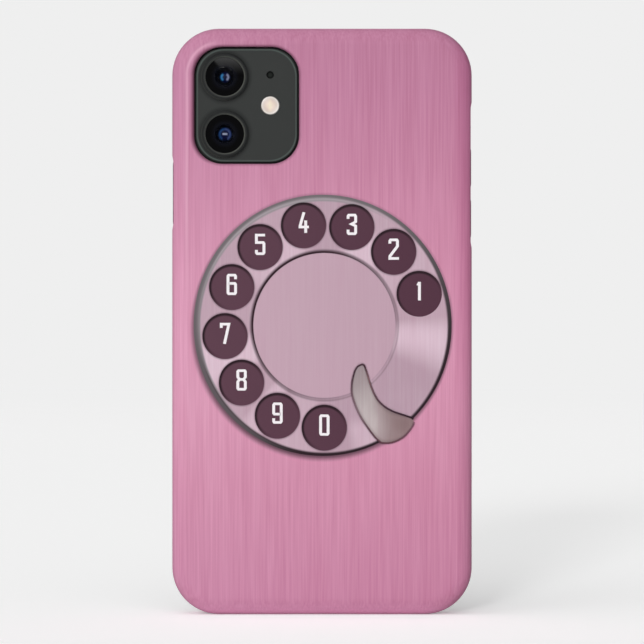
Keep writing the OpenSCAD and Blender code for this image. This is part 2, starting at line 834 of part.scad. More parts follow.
module volume_up_button() {
    color([0.24, 0.24, 0.25]) upright() side_key(volume_up_z, volume_button_l);
}

module volume_down_button() {
    color([0.24, 0.24, 0.25]) upright() side_key(volume_down_z, volume_button_l);
}

module volume_switches() {
    color([0.75, 0.75, 0.70]) upright() {
        press_switch(volume_up_z);
        press_switch(volume_down_z);
    }
}

// Sliding switch with a scooped thumb face. Its flange runs behind the band.
module ring_switch() {
    back = inner_x - slide_gap - flange_t;
    tall = phone_w / 2 + button_proud - back;
    color([0.24, 0.24, 0.25]) upright() on_side(back, ring_switch_z, z_ring_rest) {
        difference() {
            soft_block(ring_switch_l, ring_cap_w, ring_cap_round, tall, button_edge / 2);
            translate([0, 0, tall + ring_scoop_r - ring_scoop_deep]) rotate([90, 0, 0])
                cylinder(r = ring_scoop_r, h = 2 * ring_cap_w, center = true);
        }
        translate([0, 0, flange_t / 2])
            cube([ring_switch_l + 2 * flange_over, ring_flange_w, flange_t], center = true);
    }
}

mark_t = 0.05;

// Bright mark on the switch's flange, hidden behind the band until the switch is slid back.
module ring_switch_mark() {
    color([0.90, 0.35, 0.08]) upright()
        on_side(inner_x - slide_gap, ring_switch_z, z_ring_rest - ring_cap_w / 2 - ring_travel / 2)
            translate([0, 0, mark_t / 2]) cube([ring_switch_l - 1, ring_travel - 0.2, mark_t], center = true);
}

module ring_switch_base() {
    back = inner_x - 2 * slide_gap - flange_t;
    reach = ring_switch_l / 2 + ring_base_over;
    color([0.30, 0.30, 0.32]) upright()
        block([back - ring_base_t, ring_switch_z - reach, z_inside + fit_gap], [back, ring_switch_z + reach, z_plate]);
}

// ---------------------------------------------------------------- insides

socket_wall = 0.3;
socket_floor = 0.6;
socket_outer_w = socket_w + 2 * socket_wall;
socket_outer_t = socket_t + 2 * socket_wall;
socket_y0 = foot + 0.25;
sound_pitch = 2.1;
end_head_r = 1;
end_head_deep = 0.8;
end_shank_r = 0.6;

// Card tray, below the side button.
sim_face_l = 15;
sim_face_w = 2.4;
sim_from_button = 13;
sim_y = side_button_z - side_button_l / 2 - sim_from_button - sim_face_l / 2;
sim_z = z_mid;
sim_tray_h = 12.4;
sim_tray_deep = 16;
sim_tray_t = 0.9;
sim_rim = 1.8;
sim_recess = 0.7;
reader_w = 11.6;
reader_h = 12;

// The board fills the height between the end bay and the camera bracket.
board_x0 = -inner_x + board_from_band;
board_x1 = board_x0 + board_w;
board_y0 = end_bay_h + board_clear;
board_y1 = camera_y - (lens_pitch + housing_w) / 2 - bracket_over - board_clear;
z_board = z_plate - board_t;
shield_tall = 1.3;
z_shield = z_board - shield_tall;
shield_in = 3.4;
shield_side = 3.2;
shield_edge = 1;
shield_apart = 1.5;
shield_from_reader = 2.5;
shield_y0 = board_y0 + shield_in;
shield_y1 = sim_y - reader_h / 2 - shield_from_reader;
shield_split = shield_y0 + 0.42 * (shield_y1 - shield_y0);

// The battery fills the room between the board and the volume switches.
battery_x0 = board_x1 + board_clear / 2;
battery_x1 = inner_x - 2 * slide_gap - flange_t - button_travel - plunger_h - switch_t - tab_t - board_clear;
battery_y0 = end_bay_h + board_clear;
battery_from_flash = 7;
battery_y1 = camera_y - flash_module_w / 2 - battery_from_flash;
battery_clear = 0.25;
adhesive_t = 0.2;
adhesive_in = 2;
adhesive_w = 7;
adhesive_step = (battery_x1 - battery_x0 - 2 * adhesive_in - adhesive_w) / 3;

// Card tray: its face fills the band's slot and follows the band's curve.
module sim_tray() {
    color([0.20, 0.20, 0.21]) upright() {
        intersection() {
            side_band();
            sim_slot(0);
        }
        difference() {
            block([-inner_x, sim_y - sim_tray_h / 2, sim_z - sim_tray_t / 2],
                  [-inner_x + sim_tray_deep, sim_y + sim_tray_h / 2, sim_z + sim_tray_t / 2]);
            block([-inner_x + sim_rim, sim_y - sim_tray_h / 2 + sim_rim, sim_z - over],
                  [-inner_x + sim_tray_deep - sim_rim, sim_y + sim_tray_h / 2 - sim_rim,
                   sim_z - sim_tray_t / 2 + sim_recess]);
        }
    }
}

module sim_reader() {
    color([0.70, 0.71, 0.72]) upright()
        block([board_x0 + 4 * fit_gap, sim_y - reader_h / 2, sim_z + sim_tray_t / 2 + fit_gap / 5],
              [board_x0 + 4 * fit_gap + reader_w, sim_y + reader_h / 2, z_board]);
}

module battery() {
    color([0.12, 0.12, 0.13]) upright()
        block([battery_x0, battery_y0, z_inside + battery_clear],
              [battery_x1, battery_y1, z_plate - adhesive_t]);
}

module battery_adhesive() {
    color([0.92, 0.92, 0.88]) upright() for (i = [0 : 3])
        block([battery_x0 + adhesive_in + i * adhesive_step, battery_y0 + adhesive_in, z_plate - adhesive_t],
              [battery_x0 + adhesive_in + i * adhesive_step + adhesive_w, battery_y1 - adhesive_in, z_plate]);
}

board_screw_in = 1.6;

// A screw whose head ends at z0 and whose shank is l long.
module screw(z0, l) {
    translate([0, 0, z0 - screw_head_t]) {
        cylinder(r = screw_head_r, h = screw_head_t);
        cylinder(r = screw_r, h = screw_head_t + l);
    }
}

module board_screw_places() {
    for (x = [board_x0 + board_screw_in, board_x1 - board_screw_in],
         y = [board_y0 + board_screw_in, board_y1 - board_screw_in])
        translate([x, y, 0]) children();
}

module circuit_board() {
    color([0.08, 0.22, 0.14]) upright() difference() {
        block([board_x0, board_y0, z_board], [board_x1, board_y1, z_plate]);
        board_screw_places() cylinder(r = screw_r + fit_gap / 2, h = case_t);
    }
}

module board_shields() {
    color([0.70, 0.71, 0.72]) upright() {
        block([board_x0 + shield_side, shield_y0, z_shield],
              [board_x1 - shield_side, shield_split - shield_apart / 2, z_board]);
        block([board_x0 + shield_edge, shield_split + shield_apart / 2, z_shield],
              [board_x1 - shield_edge, shield_y1, z_board]);
        block([board_x0 + shield_side, sim_y + reader_h / 2 + shield_from_reader, z_shield],
              [board_x1 - shield_side, board_y1 - shield_in, z_board]);
    }
}

module board_screws() {
    color([0.55, 0.55, 0.57]) upright() board_screw_places() screw(z_board, board_t + mid_plate_t - 0.05);
}

module bracket_screws() {
    color([0.55, 0.55, 0.57]) upright() bracket_screw_places() screw(z_bracket, bracket_t + screw_grip - 0.1);
}

ferrite_t = 0.2;

module charging_coil() {
    color([0.72, 0.42, 0.22]) upright() translate([0, mid_y, z_plate + ferrite_t])
        difference() {
            cylinder(r = coil_r, h = mid_plate_t - ferrite_t);
            translate([0, 0, -over]) cylinder(r = coil_r * 0.45, h = 3 * over);
        }
}

module ferrite_disc() {
    color([0.14, 0.14, 0.15]) upright() translate([0, mid_y, z_plate]) cylinder(r = coil_r, h = ferrite_t);
}

// Vibration motor: a weight that slides in a tray. The tray lies between the ribbon and
// the loudspeaker, at the top of the end bay.
flex_t = 0.2;
flex_w = 4;
flex_in = 0.65;
flex_x0 = board_x0 + flex_in;
vib_from_flex = 1;
vib_from_speaker = 2.7;
vib_from_bay = 1.6;
speaker_from_socket = 2.2;
speaker_x0 = socket_outer_w / 2 + speaker_from_socket;
vib_x0 = flex_x0 + flex_w + vib_from_flex;
vib_x1 = speaker_x0 - vib_from_speaker;
vib_y1 = end_bay_h - vib_from_bay;
vib_y0 = vib_y1 - vibration_h;
vib_wall = 0.4;
vib_floor_gap = 0.1;
z_vib = z_plate - vibration_t;
weight_r = 1;
weight_h = vibration_h - 2 * (vib_wall + slide_gap);
weight_w = vib_x1 - vib_x0 - 2 * (vib_wall + slide_gap + weight_travel);

module vibration_case() {
    color([0.66, 0.67, 0.69]) upright() difference() {
        block([vib_x0, vib_y0, z_vib], [vib_x1, vib_y1, z_plate]);
        block([vib_x0 + vib_wall, vib_y0 + vib_wall, z_vib - over],
              [vib_x1 - vib_wall, vib_y1 - vib_wall, z_plate - vib_wall]);
    }
}

module vibration_weight() {
    color([0.45, 0.45, 0.47]) upright()
        translate([(vib_x0 + vib_x1) / 2, (vib_y0 + vib_y1) / 2, z_vib + vib_floor_gap])
            linear_extrude(height = z_plate - vib_wall - slide_gap - z_vib - vib_floor_gap)
                rounded_rect(weight_w, weight_h, weight_r);
}

// ---------------------------------------------------------------- standing end

module charging_socket() {
    color([0.62, 0.63, 0.65]) upright() difference() {
        on_end(0, socket_y0, z_mid) linear_extrude(height = socket_depth + socket_floor)
            rounded_rect(socket_outer_w, socket_outer_t, socket_outer_t * 0.48);
        on_end(0, socket_y0 - over, z_mid) linear_extrude(height = socket_depth + over)
            rounded_rect(socket_w, socket_t, socket_t * 0.48);
    }
}

module socket_tongue() {
    color([0.07, 0.07, 0.08]) upright()
        block([-socket_w * 0.4, socket_y0 + 0.9, z_mid - 0.35],
              [socket_w * 0.4, socket_y0 + socket_depth, z_mid + 0.35]);
}

module end_screws() {
    color([0.50, 0.50, 0.52]) upright() for (s = [-1, 1])
        on_end(s * end_screw_x, foot + 0.1, z_mid) difference() {
            union() {
                cylinder(r = end_head_r, h = end_head_deep - 0.1);
                cylinder(r = end_shank_r - 0.03, h = frame_wall + 0.6);
            }
            translate([0, 0, -over]) cylinder(r = 0.45, h = over + 0.4, $fn = 5);
        }
}

speaker_gap = 1.2;
speaker_clear = 0.4;
end_mic_w = 5;
end_mic_h = 3.4;
end_mic_front = 1.6;
mesh_t = 2.4;
mesh_r = 0.5;

module loudspeaker() {
    color([0.09, 0.09, 0.10]) upright() intersection() {
        inside(z_inside + speaker_clear, z_plate, fit_gap);
        block([speaker_x0, inner_y0 + speaker_gap, 0], [inner_x, end_bay_h, case_t]);
    }
}

module end_microphone() {
    color([0.66, 0.67, 0.69]) upright()
        block([-sound_from_port - end_mic_w / 2, inner_y0 + speaker_gap, z_mid - end_mic_front],
              [-sound_from_port + end_mic_w / 2, inner_y0 + speaker_gap + end_mic_h, z_plate - flex_t]);
}

stiffener_t = 1.2;

// Ribbon from the charging socket past the vibration motor to the circuit board, with a
// stiffener behind the socket.
module socket_ribbon() {
    back_y = socket_y0 + socket_depth + socket_floor;
    left_x = flex_x0 + flex_w;
    low_y = inner_y0 + speaker_gap + 1;
    mic_x = -sound_from_port + end_mic_w / 2;
    color([0.45, 0.28, 0.10]) upright() {
        translate([0, 0, z_plate - flex_t]) linear_extrude(height = flex_t)
            polygon([[flex_x0, board_y0], [flex_x0, low_y], [mic_x, low_y], [mic_x, back_y],
                     [socket_outer_w / 2, back_y],
                     [socket_outer_w / 2, back_y + flex_w], [left_x, back_y + flex_w], [left_x, board_y0]]);
        block([-socket_outer_w / 2, back_y, z_mid - socket_outer_t / 2],
              [socket_outer_w / 2, back_y + stiffener_t, z_plate - flex_t]);
    }
}

module sound_mesh() {
    color([0.10, 0.10, 0.10]) upright() for (s = [-1, 1])
        on_end(s * sound_from_port, inner_y0 + fit_gap / 2, z_mid)
            linear_extrude(height = speaker_gap - fit_gap)
                rounded_rect(sound_pitch * sound_holes, mesh_t, mesh_r);
}

// ---------------------------------------------------------------- drawing

case_shell();
back_glass();
phone_frame();
antenna_breaks();
mid_plate();
front_glass();
screen_gasket();
display_panel();
display_shield();
earpiece_mesh();
earpiece_speaker();
front_sensor_bracket();
front_camera();
upper_lens_ring();
upper_lens_cover();
upper_lens_barrel();
upper_lens_element();
upper_camera_housing();
lower_lens_ring();
lower_lens_cover();
lower_lens_barrel();
lower_lens_element();
lower_camera_housing();
camera_sensors();
camera_bracket();
flash_window();
flash_module();
rear_microphone();
side_button();
side_button_switch();
volume_up_button();
volume_down_button();
volume_switches();
ring_switch();
ring_switch_mark();
ring_switch_base();
sim_tray();
sim_reader();
battery();
battery_adhesive();
circuit_board();
board_shields();
charging_coil();
ferrite_disc();
vibration_case();
vibration_weight();
loudspeaker();
end_microphone();
sound_mesh();
socket_ribbon();
charging_socket();
socket_tongue();
end_screws();
board_screws();
bracket_screws();
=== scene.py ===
import json
import math
import bmesh
import bpy
import numpy as np
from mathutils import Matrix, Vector

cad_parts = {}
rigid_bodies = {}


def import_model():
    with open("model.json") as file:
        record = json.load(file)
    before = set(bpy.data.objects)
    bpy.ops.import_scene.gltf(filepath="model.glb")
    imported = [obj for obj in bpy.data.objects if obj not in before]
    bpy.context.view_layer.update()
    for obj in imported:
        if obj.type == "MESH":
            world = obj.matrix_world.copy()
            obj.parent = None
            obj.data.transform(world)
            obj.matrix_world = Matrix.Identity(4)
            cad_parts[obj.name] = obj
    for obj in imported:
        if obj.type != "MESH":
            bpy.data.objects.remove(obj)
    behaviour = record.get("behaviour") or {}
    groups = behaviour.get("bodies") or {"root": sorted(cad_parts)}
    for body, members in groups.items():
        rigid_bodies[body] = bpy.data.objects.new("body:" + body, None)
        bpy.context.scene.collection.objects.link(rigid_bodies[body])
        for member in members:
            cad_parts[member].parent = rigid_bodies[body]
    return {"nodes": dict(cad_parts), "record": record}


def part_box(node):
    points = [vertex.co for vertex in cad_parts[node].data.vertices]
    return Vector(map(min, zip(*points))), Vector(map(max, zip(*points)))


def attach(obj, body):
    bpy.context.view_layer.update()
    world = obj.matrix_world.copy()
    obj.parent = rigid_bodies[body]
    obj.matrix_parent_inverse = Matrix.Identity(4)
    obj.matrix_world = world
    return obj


for leftOver in list(bpy.data.objects):
    bpy.data.objects.remove(leftOver)
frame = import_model()
bpy.context.view_layer.update()
cadNodes = frame["nodes"]
slotOf = {part["node"]: part["material_slot"] for part in frame["record"]["subparts"]}
mm = 0.001  # shapes and patterns are worked out in millimetres
caseLow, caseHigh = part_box("case_shell")
backFace = caseLow.y / mm  # depth of the case's flat back, where the print lies
print("frame loaded,", len(cadNodes), "nodes")


def toLinear(level):  # a display level from 0 to 255 as a linear value
    share = level / 255
    return share / 12.92 if share <= 0.04045 else ((share + 0.055) / 1.055) ** 2.4


def tone(red, green, blue):  # a display colour as a linear colour with full alpha
    return (toLinear(red), toLinear(green), toLinear(blue), 1.0)


class Signal:  # a shader socket; each sum on it adds one Math node
    def __init__(self, recipe, socket):
        self.recipe = recipe
        self.socket = socket

    def __add__(self, other):
        return self.recipe.sum("ADD", self, other)

    def __radd__(self, other):
        return self.recipe.sum("ADD", other, self)

    def __sub__(self, other):
        return self.recipe.sum("SUBTRACT", self, other)

    def __rsub__(self, other):
        return self.recipe.sum("SUBTRACT", other, self)

    def __mul__(self, other):
        return self.recipe.sum("MULTIPLY", self, other)

    def __rmul__(self, other):
        return self.recipe.sum("MULTIPLY", other, self)

    def __truediv__(self, other):
        return self.recipe.sum("DIVIDE", self, other)

    def __rtruediv__(self, other):
        return self.recipe.sum("DIVIDE", other, self)

    def __pow__(self, other):
        return self.recipe.sum("POWER", self, other)

    def __neg__(self):
        return self.recipe.sum("MULTIPLY", self, -1.0)

    def __abs__(self):
        return self.recipe.sum("ABSOLUTE", self)


class Recipe:  # the nodes of one material or of the world
    def __init__(self, tree):
        self.tree = tree
        tree.nodes.clear()

    def add(self, kind, settings=None, feeds=None):  # any node: its settings first, then its sockets
        node = self.tree.nodes.new(kind)
        for key, value in (settings or {}).items():
            if key == "stops":
                self.setStops(node.color_ramp, value)
            else:
                setattr(node, key, value)
        for key, value in (feeds or {}).items():
            self.feed(node.inputs[key], value)
        return node

    def feed(self, socket, value):
        if isinstance(value, Signal):
            self.tree.links.new(value.socket, socket)
        else:
            socket.default_value = value

    def out(self, node, key=0):
        return Signal(self, node.outputs[key])

    def setStops(self, ramp, stops):
        while len(ramp.elements) < len(stops):
            ramp.elements.new(0.5)
        for element, (place, level) in zip(ramp.elements, stops):
            element.position = place
            element.color = tone(*level)

    def sum(self, operation, *values):
        return self.out(self.add("ShaderNodeMath", {"operation": operation}, dict(enumerate(values))))

    def most(self, first, second):
        return self.sum("MAXIMUM", first, second)

    def least(self, first, second):
        return self.sum("MINIMUM", first, second)

    def apart(self, across, up):  # the length of an offset
        return self.sum("SQRT", across * across + up * up)

    def join(self, x, y, z):
        return self.out(self.add("ShaderNodeCombineXYZ", None, {0: x, 1: y, 2: z}))

    def split(self, vector):
        node = self.add("ShaderNodeSeparateXYZ", None, {0: vector})
        return [self.out(node, i) for i in range(3)]

    def millimetres(self):  # object coordinates in mm
        coords = self.out(self.add("ShaderNodeTexCoord"), "Object")
        return self.split(self.out(self.add("ShaderNodeVectorMath", {"operation": "SCALE"},
                                            {"Vector": coords, "Scale": 1 / mm})))

    def ownMap(self):  # a piece's own map; its third value is empty
        return self.split(self.out(self.add("ShaderNodeUVMap", {"uv_map": "own"})))

    def fade(self, value, low, high):  # 0 below low, 1 above high, smooth between
        return self.out(self.add("ShaderNodeMapRange", {"interpolation_type": "SMOOTHSTEP"},
                                 {"Value": value, "From Min": low, "From Max": high}))

    def until(self, value, low, high):  # 1 below low, 0 above high, smooth between
        return 1 - self.fade(value, low, high)

    def line(self, value, centre, half):  # 1 on the line, 0 past half away from it
        return self.until(abs(value - centre), 0.0, half)

    def within(self, value):  # kept between 0 and 1
        return self.out(self.add("ShaderNodeClamp", None, {"Value": value}))

    def drift(self, x, half):  # 0 at half to the left of the middle, 1 at half to the right
        return self.within((x + half) / (2 * half))

    def noise(self, x, y, z, scale=1.0, detail=1.0, roughness=0.5):
        node = self.add("ShaderNodeTexNoise", None, {"Vector": self.join(x, y, z), "Scale": scale,
                                                     "Detail": detail, "Roughness": roughness})
        return self.out(node, "Fac")

    def ramp(self, value, stops):  # display colours at places from 0 to 1
        return self.out(self.add("ShaderNodeValToRGB", {"stops": stops}, {"Fac": value}))

    def blend(self, share, first, second, kind="MIX"):  # two linear colours or sockets
        node = self.add("ShaderNodeMix", {"data_type": "RGBA", "blend_type": kind},
                        {0: share, 6: first, 7: second})
        return self.out(node, 2)

    def between(self, share, first, second):  # two display colours
        return self.blend(share, tone(*first), tone(*second))

    def paint(self, mask, under, coat, kind="MIX"):  # a coat, (share, display colour), over what is there
        share, level = coat
        return self.blend(mask if share == 1 else mask * share, under, tone(*level), kind)

    def bump(self, height, distance, strength=1.0):
        return self.out(self.add("ShaderNodeBump", None, {"Height": height, "Distance": distance * mm,
                                                          "Strength": strength}))


def newFinish(name, **fixed):  # a material with one Principled shader whose fixed sockets are set here
    material = bpy.data.materials.new(name)
    material.use_nodes = True
    recipe = Recipe(material.node_tree)
    recipe.material = material
    recipe.shader = recipe.add("ShaderNodeBsdfPrincipled", None,
                               {key.replace("_", " "): value for key, value in fixed.items()})
    recipe.add("ShaderNodeOutputMaterial", None, {"Surface": recipe.out(recipe.shader)})
    return recipe


def wear(recipe, **feeds):  # links what changes over the surface
    for key, value in feeds.items():
        recipe.feed(recipe.shader.inputs[key.replace("_", " ")], value)
    return recipe.material


def rough(look, field):  # the least roughness of a look and how much a field adds
    least, more = look["roughness"]
    return least + field * more


def makeMesh(name, points, faces, maps=None):  # points in mm, each face a list of corners
    mesh = bpy.data.meshes.new(name)
    mesh.from_pydata((np.asarray(points) * mm).tolist(), [], faces)
    if maps is not None:
        layer = mesh.uv_layers.new(name="own")
        corners = np.empty(len(mesh.loops), dtype=np.int32)
        mesh.loops.foreach_get("vertex_index", corners)
        layer.data.foreach_set("uv", np.asarray(maps, dtype=np.float32)[corners].ravel())
    work = bmesh.new()
    work.from_mesh(mesh)
    bmesh.ops.recalc_face_normals(work, faces=work.faces)
    work.to_mesh(mesh)
    work.free()
    piece = bpy.data.objects.new(name, mesh)
    bpy.context.scene.collection.objects.link(piece)
    return piece


def sheetFaces(rows, columns, wrapRows=False):
    # The quads of a grid of points: each point with its right, lower right and lower neighbour.
    i = np.arange(rows if wrapRows else rows - 1)[:, None]
    j = np.arange(columns - 1)[None, :]
    down, right = (i + 1) % rows, j + 1
    quad = [i * columns + j, i * columns + right, down * columns + right, down * columns + j]
    return np.stack(np.broadcast_arrays(*quad), -1).reshape(-1, 4)


def slab(grid, low, high, wrapRows=False):
    # A thin closed sheet: grid holds (across, up) for each row and column, and each point is
    # laid at depth high for the face and at depth low for the underside; walls join the rims.
    rows, columns = grid.shape[:2]
    flat = grid.reshape(-1, 2)
    layers = [np.stack([flat[:, 0], np.full(len(flat), depth), flat[:, 1]], 1) for depth in (high, low)]
    face = sheetFaces(rows, columns, wrapRows)
    index = np.arange(rows * columns).reshape(rows, columns)
    if wrapRows:
        rims = [np.append(index[:, k], index[0, k]) for k in (0, -1)]
    else:
        rims = [np.concatenate([index[0], index[1:, -1], index[-1, -2::-1], index[-2::-1, 0]])]
    walls = [np.stack([rim[:-1], rim[1:], rim[1:] + len(flat), rim[:-1] + len(flat)], 1) for rim in rims]
    return np.concatenate(layers), np.concatenate([face, face + len(flat)] + walls).tolist()


def ribbon(path, halfAcross, halfUp, low, high, closed=False):
    # A flat band along a path: each side runs beside the path, at half the band's width along
    # the mitre of the two neighbouring stretches.
    path = np.asarray(path, float) / [1, halfUp / halfAcross]
    ahead = np.roll(path, -1, 0) - path
    if not closed:
        ahead[-1] = ahead[-2]
    ahead /= np.linalg.norm(ahead, axis=1, keepdims=True)
    behind = np.roll(ahead, 1, 0)
    if not closed:
        behind[0] = ahead[0]
    normals = [np.stack([-d[:, 1], d[:, 0]], 1) for d in (behind, ahead)]
    mitre = normals[0] + normals[1]
    mitre /= 1 + (normals[0] * normals[1]).sum(1, keepdims=True)
    sides = np.stack([path - mitre * halfAcross, path + mitre * halfAcross], 1) * [1, halfUp / halfAcross]
    return slab(sides, low, high, wrapRows=closed)


def disc(centre, radii, rings, turns, low, high):
    # A thin ellipse: rings of points at equal angles, closed by triangles round a middle point.
    share = np.linspace(0, 1, rings + 1)[1:]
    angle = np.linspace(0, 2 * np.pi, turns, endpoint=False)[:, None]
    across = centre[0] + radii[0] * share * np.cos(angle)
    up = centre[1] + radii[1] * share * np.sin(angle)
    points, faces = slab(np.stack([across, up], -1), low, high, wrapRows=True)
    quads = (rings - 1) * turns
    faces = faces[:2 * quads] + faces[2 * quads + turns:]  # the wall round the middle point is left out
    inner = np.arange(turns) * rings
    below, hub = turns * rings, len(points)
    fans = [np.stack([inner + below * k, np.roll(inner, -1) + below * k, np.full(turns, hub + k)], 1)
            for k in (0, 1)]
    points = np.concatenate([points, [[centre[0], high, centre[1]], [centre[0], low, centre[1]]]])
    return points, faces + np.concatenate(fans).tolist()


def gather(parts):  # several (points, faces) as one
    points, faces, count = [], [], 0
    for more, corners in parts:
        points.append(more)
        faces += [[corner + count for corner in face] for face in corners]
        count += len(more)
    return np.concatenate(points), faces


# The dial's places and radii are (across, up) in mm. Its ink lies in layers on the case's back, each
# "ink" thick, with the underside "root" inside the back; strokes that cross are "hair" apart in depth.
dial = {"rimAt": (0.18, 75.97), "rimRadii": (33.8, 34.22), "rimGrid": (40, 240),
        "centreAt": (0.64, 75.94), "centreRadii": (18.61, 18.97), "centreGrid": (16, 180),
        "holesAt": (0.6, 75.95), "holeCircle": (26.15, 26.8), "holeRadii": (5.94, 6.02), "holeGrid": (10, 72),
        "holes": 10, "firstHole": 18.0, "pitch": 28.0, "ink": 0.02, "root": 0.01, "hair": 0.004}

# Upright brush marks of two sizes, (across, up) in mm, and how much they change red, green and blue.
brush = {"fine": (0.45, 20.0), "wide": (2.2, 55.0), "fineShare": 0.62, "contrast": 2.0, "strength": 0.094,
         "colour": (1.0, 1.85, 1.5)}


def inkLayer(number, hairs=0):  # the depths of an ink layer's underside and face
    return backFace + dial["root"], backFace - dial["ink"] * number - dial["hair"] * hairs


def addInk(name, parts, finish, maps=None):
    points, faces = parts
    piece = makeMesh(name, points, faces, maps)
    piece.data.materials.append(finish)
    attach(piece, "handset")
    return piece


class Round:  # places round a centre, with the width stretched so that the ellipse (wide, tall) is a circle
    def __init__(self, recipe, centre, radii):
        self.recipe = recipe
        self.x, self.y, self.z = recipe.millimetres()
        self.across, self.up = (self.x - centre[0]) * (radii[1] / radii[0]), self.z - centre[1]
        self.distance = recipe.apart(self.across, self.up)

    def facing(self, degrees):  # 1 towards this direction from the centre, -1 away from it
        a = math.radians(degrees)
        return (self.across * math.cos(a) + self.up * math.sin(a)) / self.distance

    def turned(self, degrees, low, high):  # 0 where facing is below low, 1 where it is above high
        return self.recipe.fade(self.facing(degrees), low, high)

    def glint(self, degrees, half):  # a soft ray that is gone at half degrees from its middle
        return self.turned(degrees, math.cos(math.radians(half)), 1.0)


def brushed(recipe, x, y, z):  # the print's upright brush marks, about 0 in the middle
    (fineAcross, fineUp), (wideAcross, wideUp) = brush["fine"], brush["wide"]
    fine = recipe.noise(x / fineAcross, y / fineAcross, z / fineUp)
    wide = recipe.noise(x / wideAcross, y / wideAcross, z / wideUp, detail=2.0)
    return (fine - 0.5) * brush["fineShare"] + (wide - 0.5) * (1 - brush["fineShare"])


def brushOver(recipe, colour, marks, share=1.0):  # lightens and darkens a colour along the marks
    dark, light = [recipe.blend(1.0, colour, tuple(1 + sign * part * (brush["strength"] * share)
                                                   for part in brush["colour"]) + (1,), "MULTIPLY")
                   for sign in (-1, 1)]
    return recipe.blend(recipe.within(0.5 + marks * brush["contrast"]), dark, light)


# The ring's soft rays are (direction in degrees, half width, strength, half of the ring), where the
# half is -1 for the inner one, 1 for the outer one and 0 for both. Other values that start with a
# direction give the facings where their effect starts and is full, and a coat is (share, tone).
ringLook = {
    "glints": [(350, 15, 0.95, 0), (34, 16, 0.3, 0), (62, 19, 0.95, -1), (117, 21, 0.75, -1),
               (139, 14, 0.5, -1), (198, 15, 1.05, 0), (235, 7, 0.65, 0), (256, 14, 0.28, 0),
               (291, 10, 0.5, 1), (318, 12, 0.25, 1)],
    "dulls": [(322, 30, 0.66, 0), (283, 20, 0.5, -1), (88, 18, 0.45, 0), (150, 16, 0.2, 1),
              (305, 12, 0.2, 1), (277, 11, 0.5, 1)],
    "halves": (24.5, 29.0), "plainTone": (190, 161, 175), "glintTone": (217, 190, 204),
    "dullCoat": (1, (178, 149, 164)), "brushShare": 0.6, "roughness": (0.42, 0.06),
    "holeShade": {"reach": (-0.1, 0.55), "coat": (0.6, (92, 64, 78))},
    "groove": {"towards": 136, "bend": 0.62, "share": 0.75, "width": 1.36, "rise": (-0.16, 0.14),
               "fall": (0.15, 1.0), "outerLine": (0.8, 0.36), "innerLine": (0.0, 0.3), "innerShare": 0.4,
               "linesShare": 0.26, "coat": (1, (42, 20, 30))},
    "bevel": {"turned": (145, -0.15, 0.6), "inset": (1.5, 1.95), "share": 0.9, "tone": (148, 142, 146),
              "line": (1.15, 0.24), "lineShare": 0.6, "lineTone": (168, 162, 165)},
    "stroke": {"widestAt": 200, "width": (0.70, 0.1, 0.56), "bulge": (268, 70), "bulgeMore": 0.11,
               "softRay": (177, 30), "soft": 0.35, "softMore": 0.55,
               "lit": (115, -0.75, 0.95), "darkTone": (38, 22, 30), "litTone": (112, 106, 109),
               "greyed": (205, 0.55, 0.95), "greyCoat": (0.6, (102, 95, 99)),
               "inner": (245, 0.2, 0.9), "innerLine": (-0.12, 0.42), "innerCoat": (0.8, (34, 22, 28))}}


def shadeByHoles(recipe, body):
    # The holes throw a short shade on the ring. The nearest hole is found from the angle, and the
    # shade fades with the distance beyond its edge.
    look, reach = ringLook["holeShade"], dial["holeCircle"][1]
    spot = Round(recipe, dial["holesAt"], dial["holeCircle"])
    turn = recipe.sum("ARCTAN2", spot.up, spot.across) * (180 / math.pi) + 360 - dial["firstHole"]
    step = recipe.sum("ROUND", recipe.sum("MODULO", turn, 360.0) / dial["pitch"])
    degrees = recipe.least(step, dial["holes"] - 1.0) * dial["pitch"] + dial["firstHole"]
    nearest = degrees * (math.pi / 180)
    across = spot.across - recipe.sum("COSINE", nearest) * reach
    up = spot.up - recipe.sum("SINE", nearest) * reach
    beyond = recipe.apart(across, up) - dial["holeRadii"][1]
    return recipe.paint(recipe.until(beyond, *look["reach"]), body, look["coat"])


def grooveRoundCentre(recipe, body):
    # Where the raised middle starts: a dark line that spreads outwards at the upper left, and thin
    # lines on the other side.
    look = ringLook["groove"]
    hub = Round(recipe, dial["centreAt"], dial["centreRadii"])
    past = hub.distance - dial["centreRadii"][1]
    facing = hub.facing(look["towards"])
    strength = recipe.most(facing + 1, 0.0) ** look["bend"] * look["share"]
    wide = recipe.until(past / look["width"], *look["fall"]) * recipe.fade(past, *look["rise"]) * strength
    inner = recipe.line(past, *look["innerLine"]) * look["innerShare"]
    thin = (recipe.line(past, *look["outerLine"]) + inner) * (0.5 - facing * 0.5) * look["linesShare"]
    return recipe.paint(recipe.within(wide + thin), body, look["coat"])


def bevelRim(recipe, body, rim, inset):  # grey towards the upper left, with a paler line along it
    look = ringLook["bevel"]
    sloped = recipe.until(inset, *look["inset"]) * rim.turned(*look["turned"]) * look["share"]
    grey = recipe.between(recipe.line(inset, *look["line"]) * look["lineShare"], look["tone"], look["lineTone"])
    return recipe.blend(sloped, body, grey)


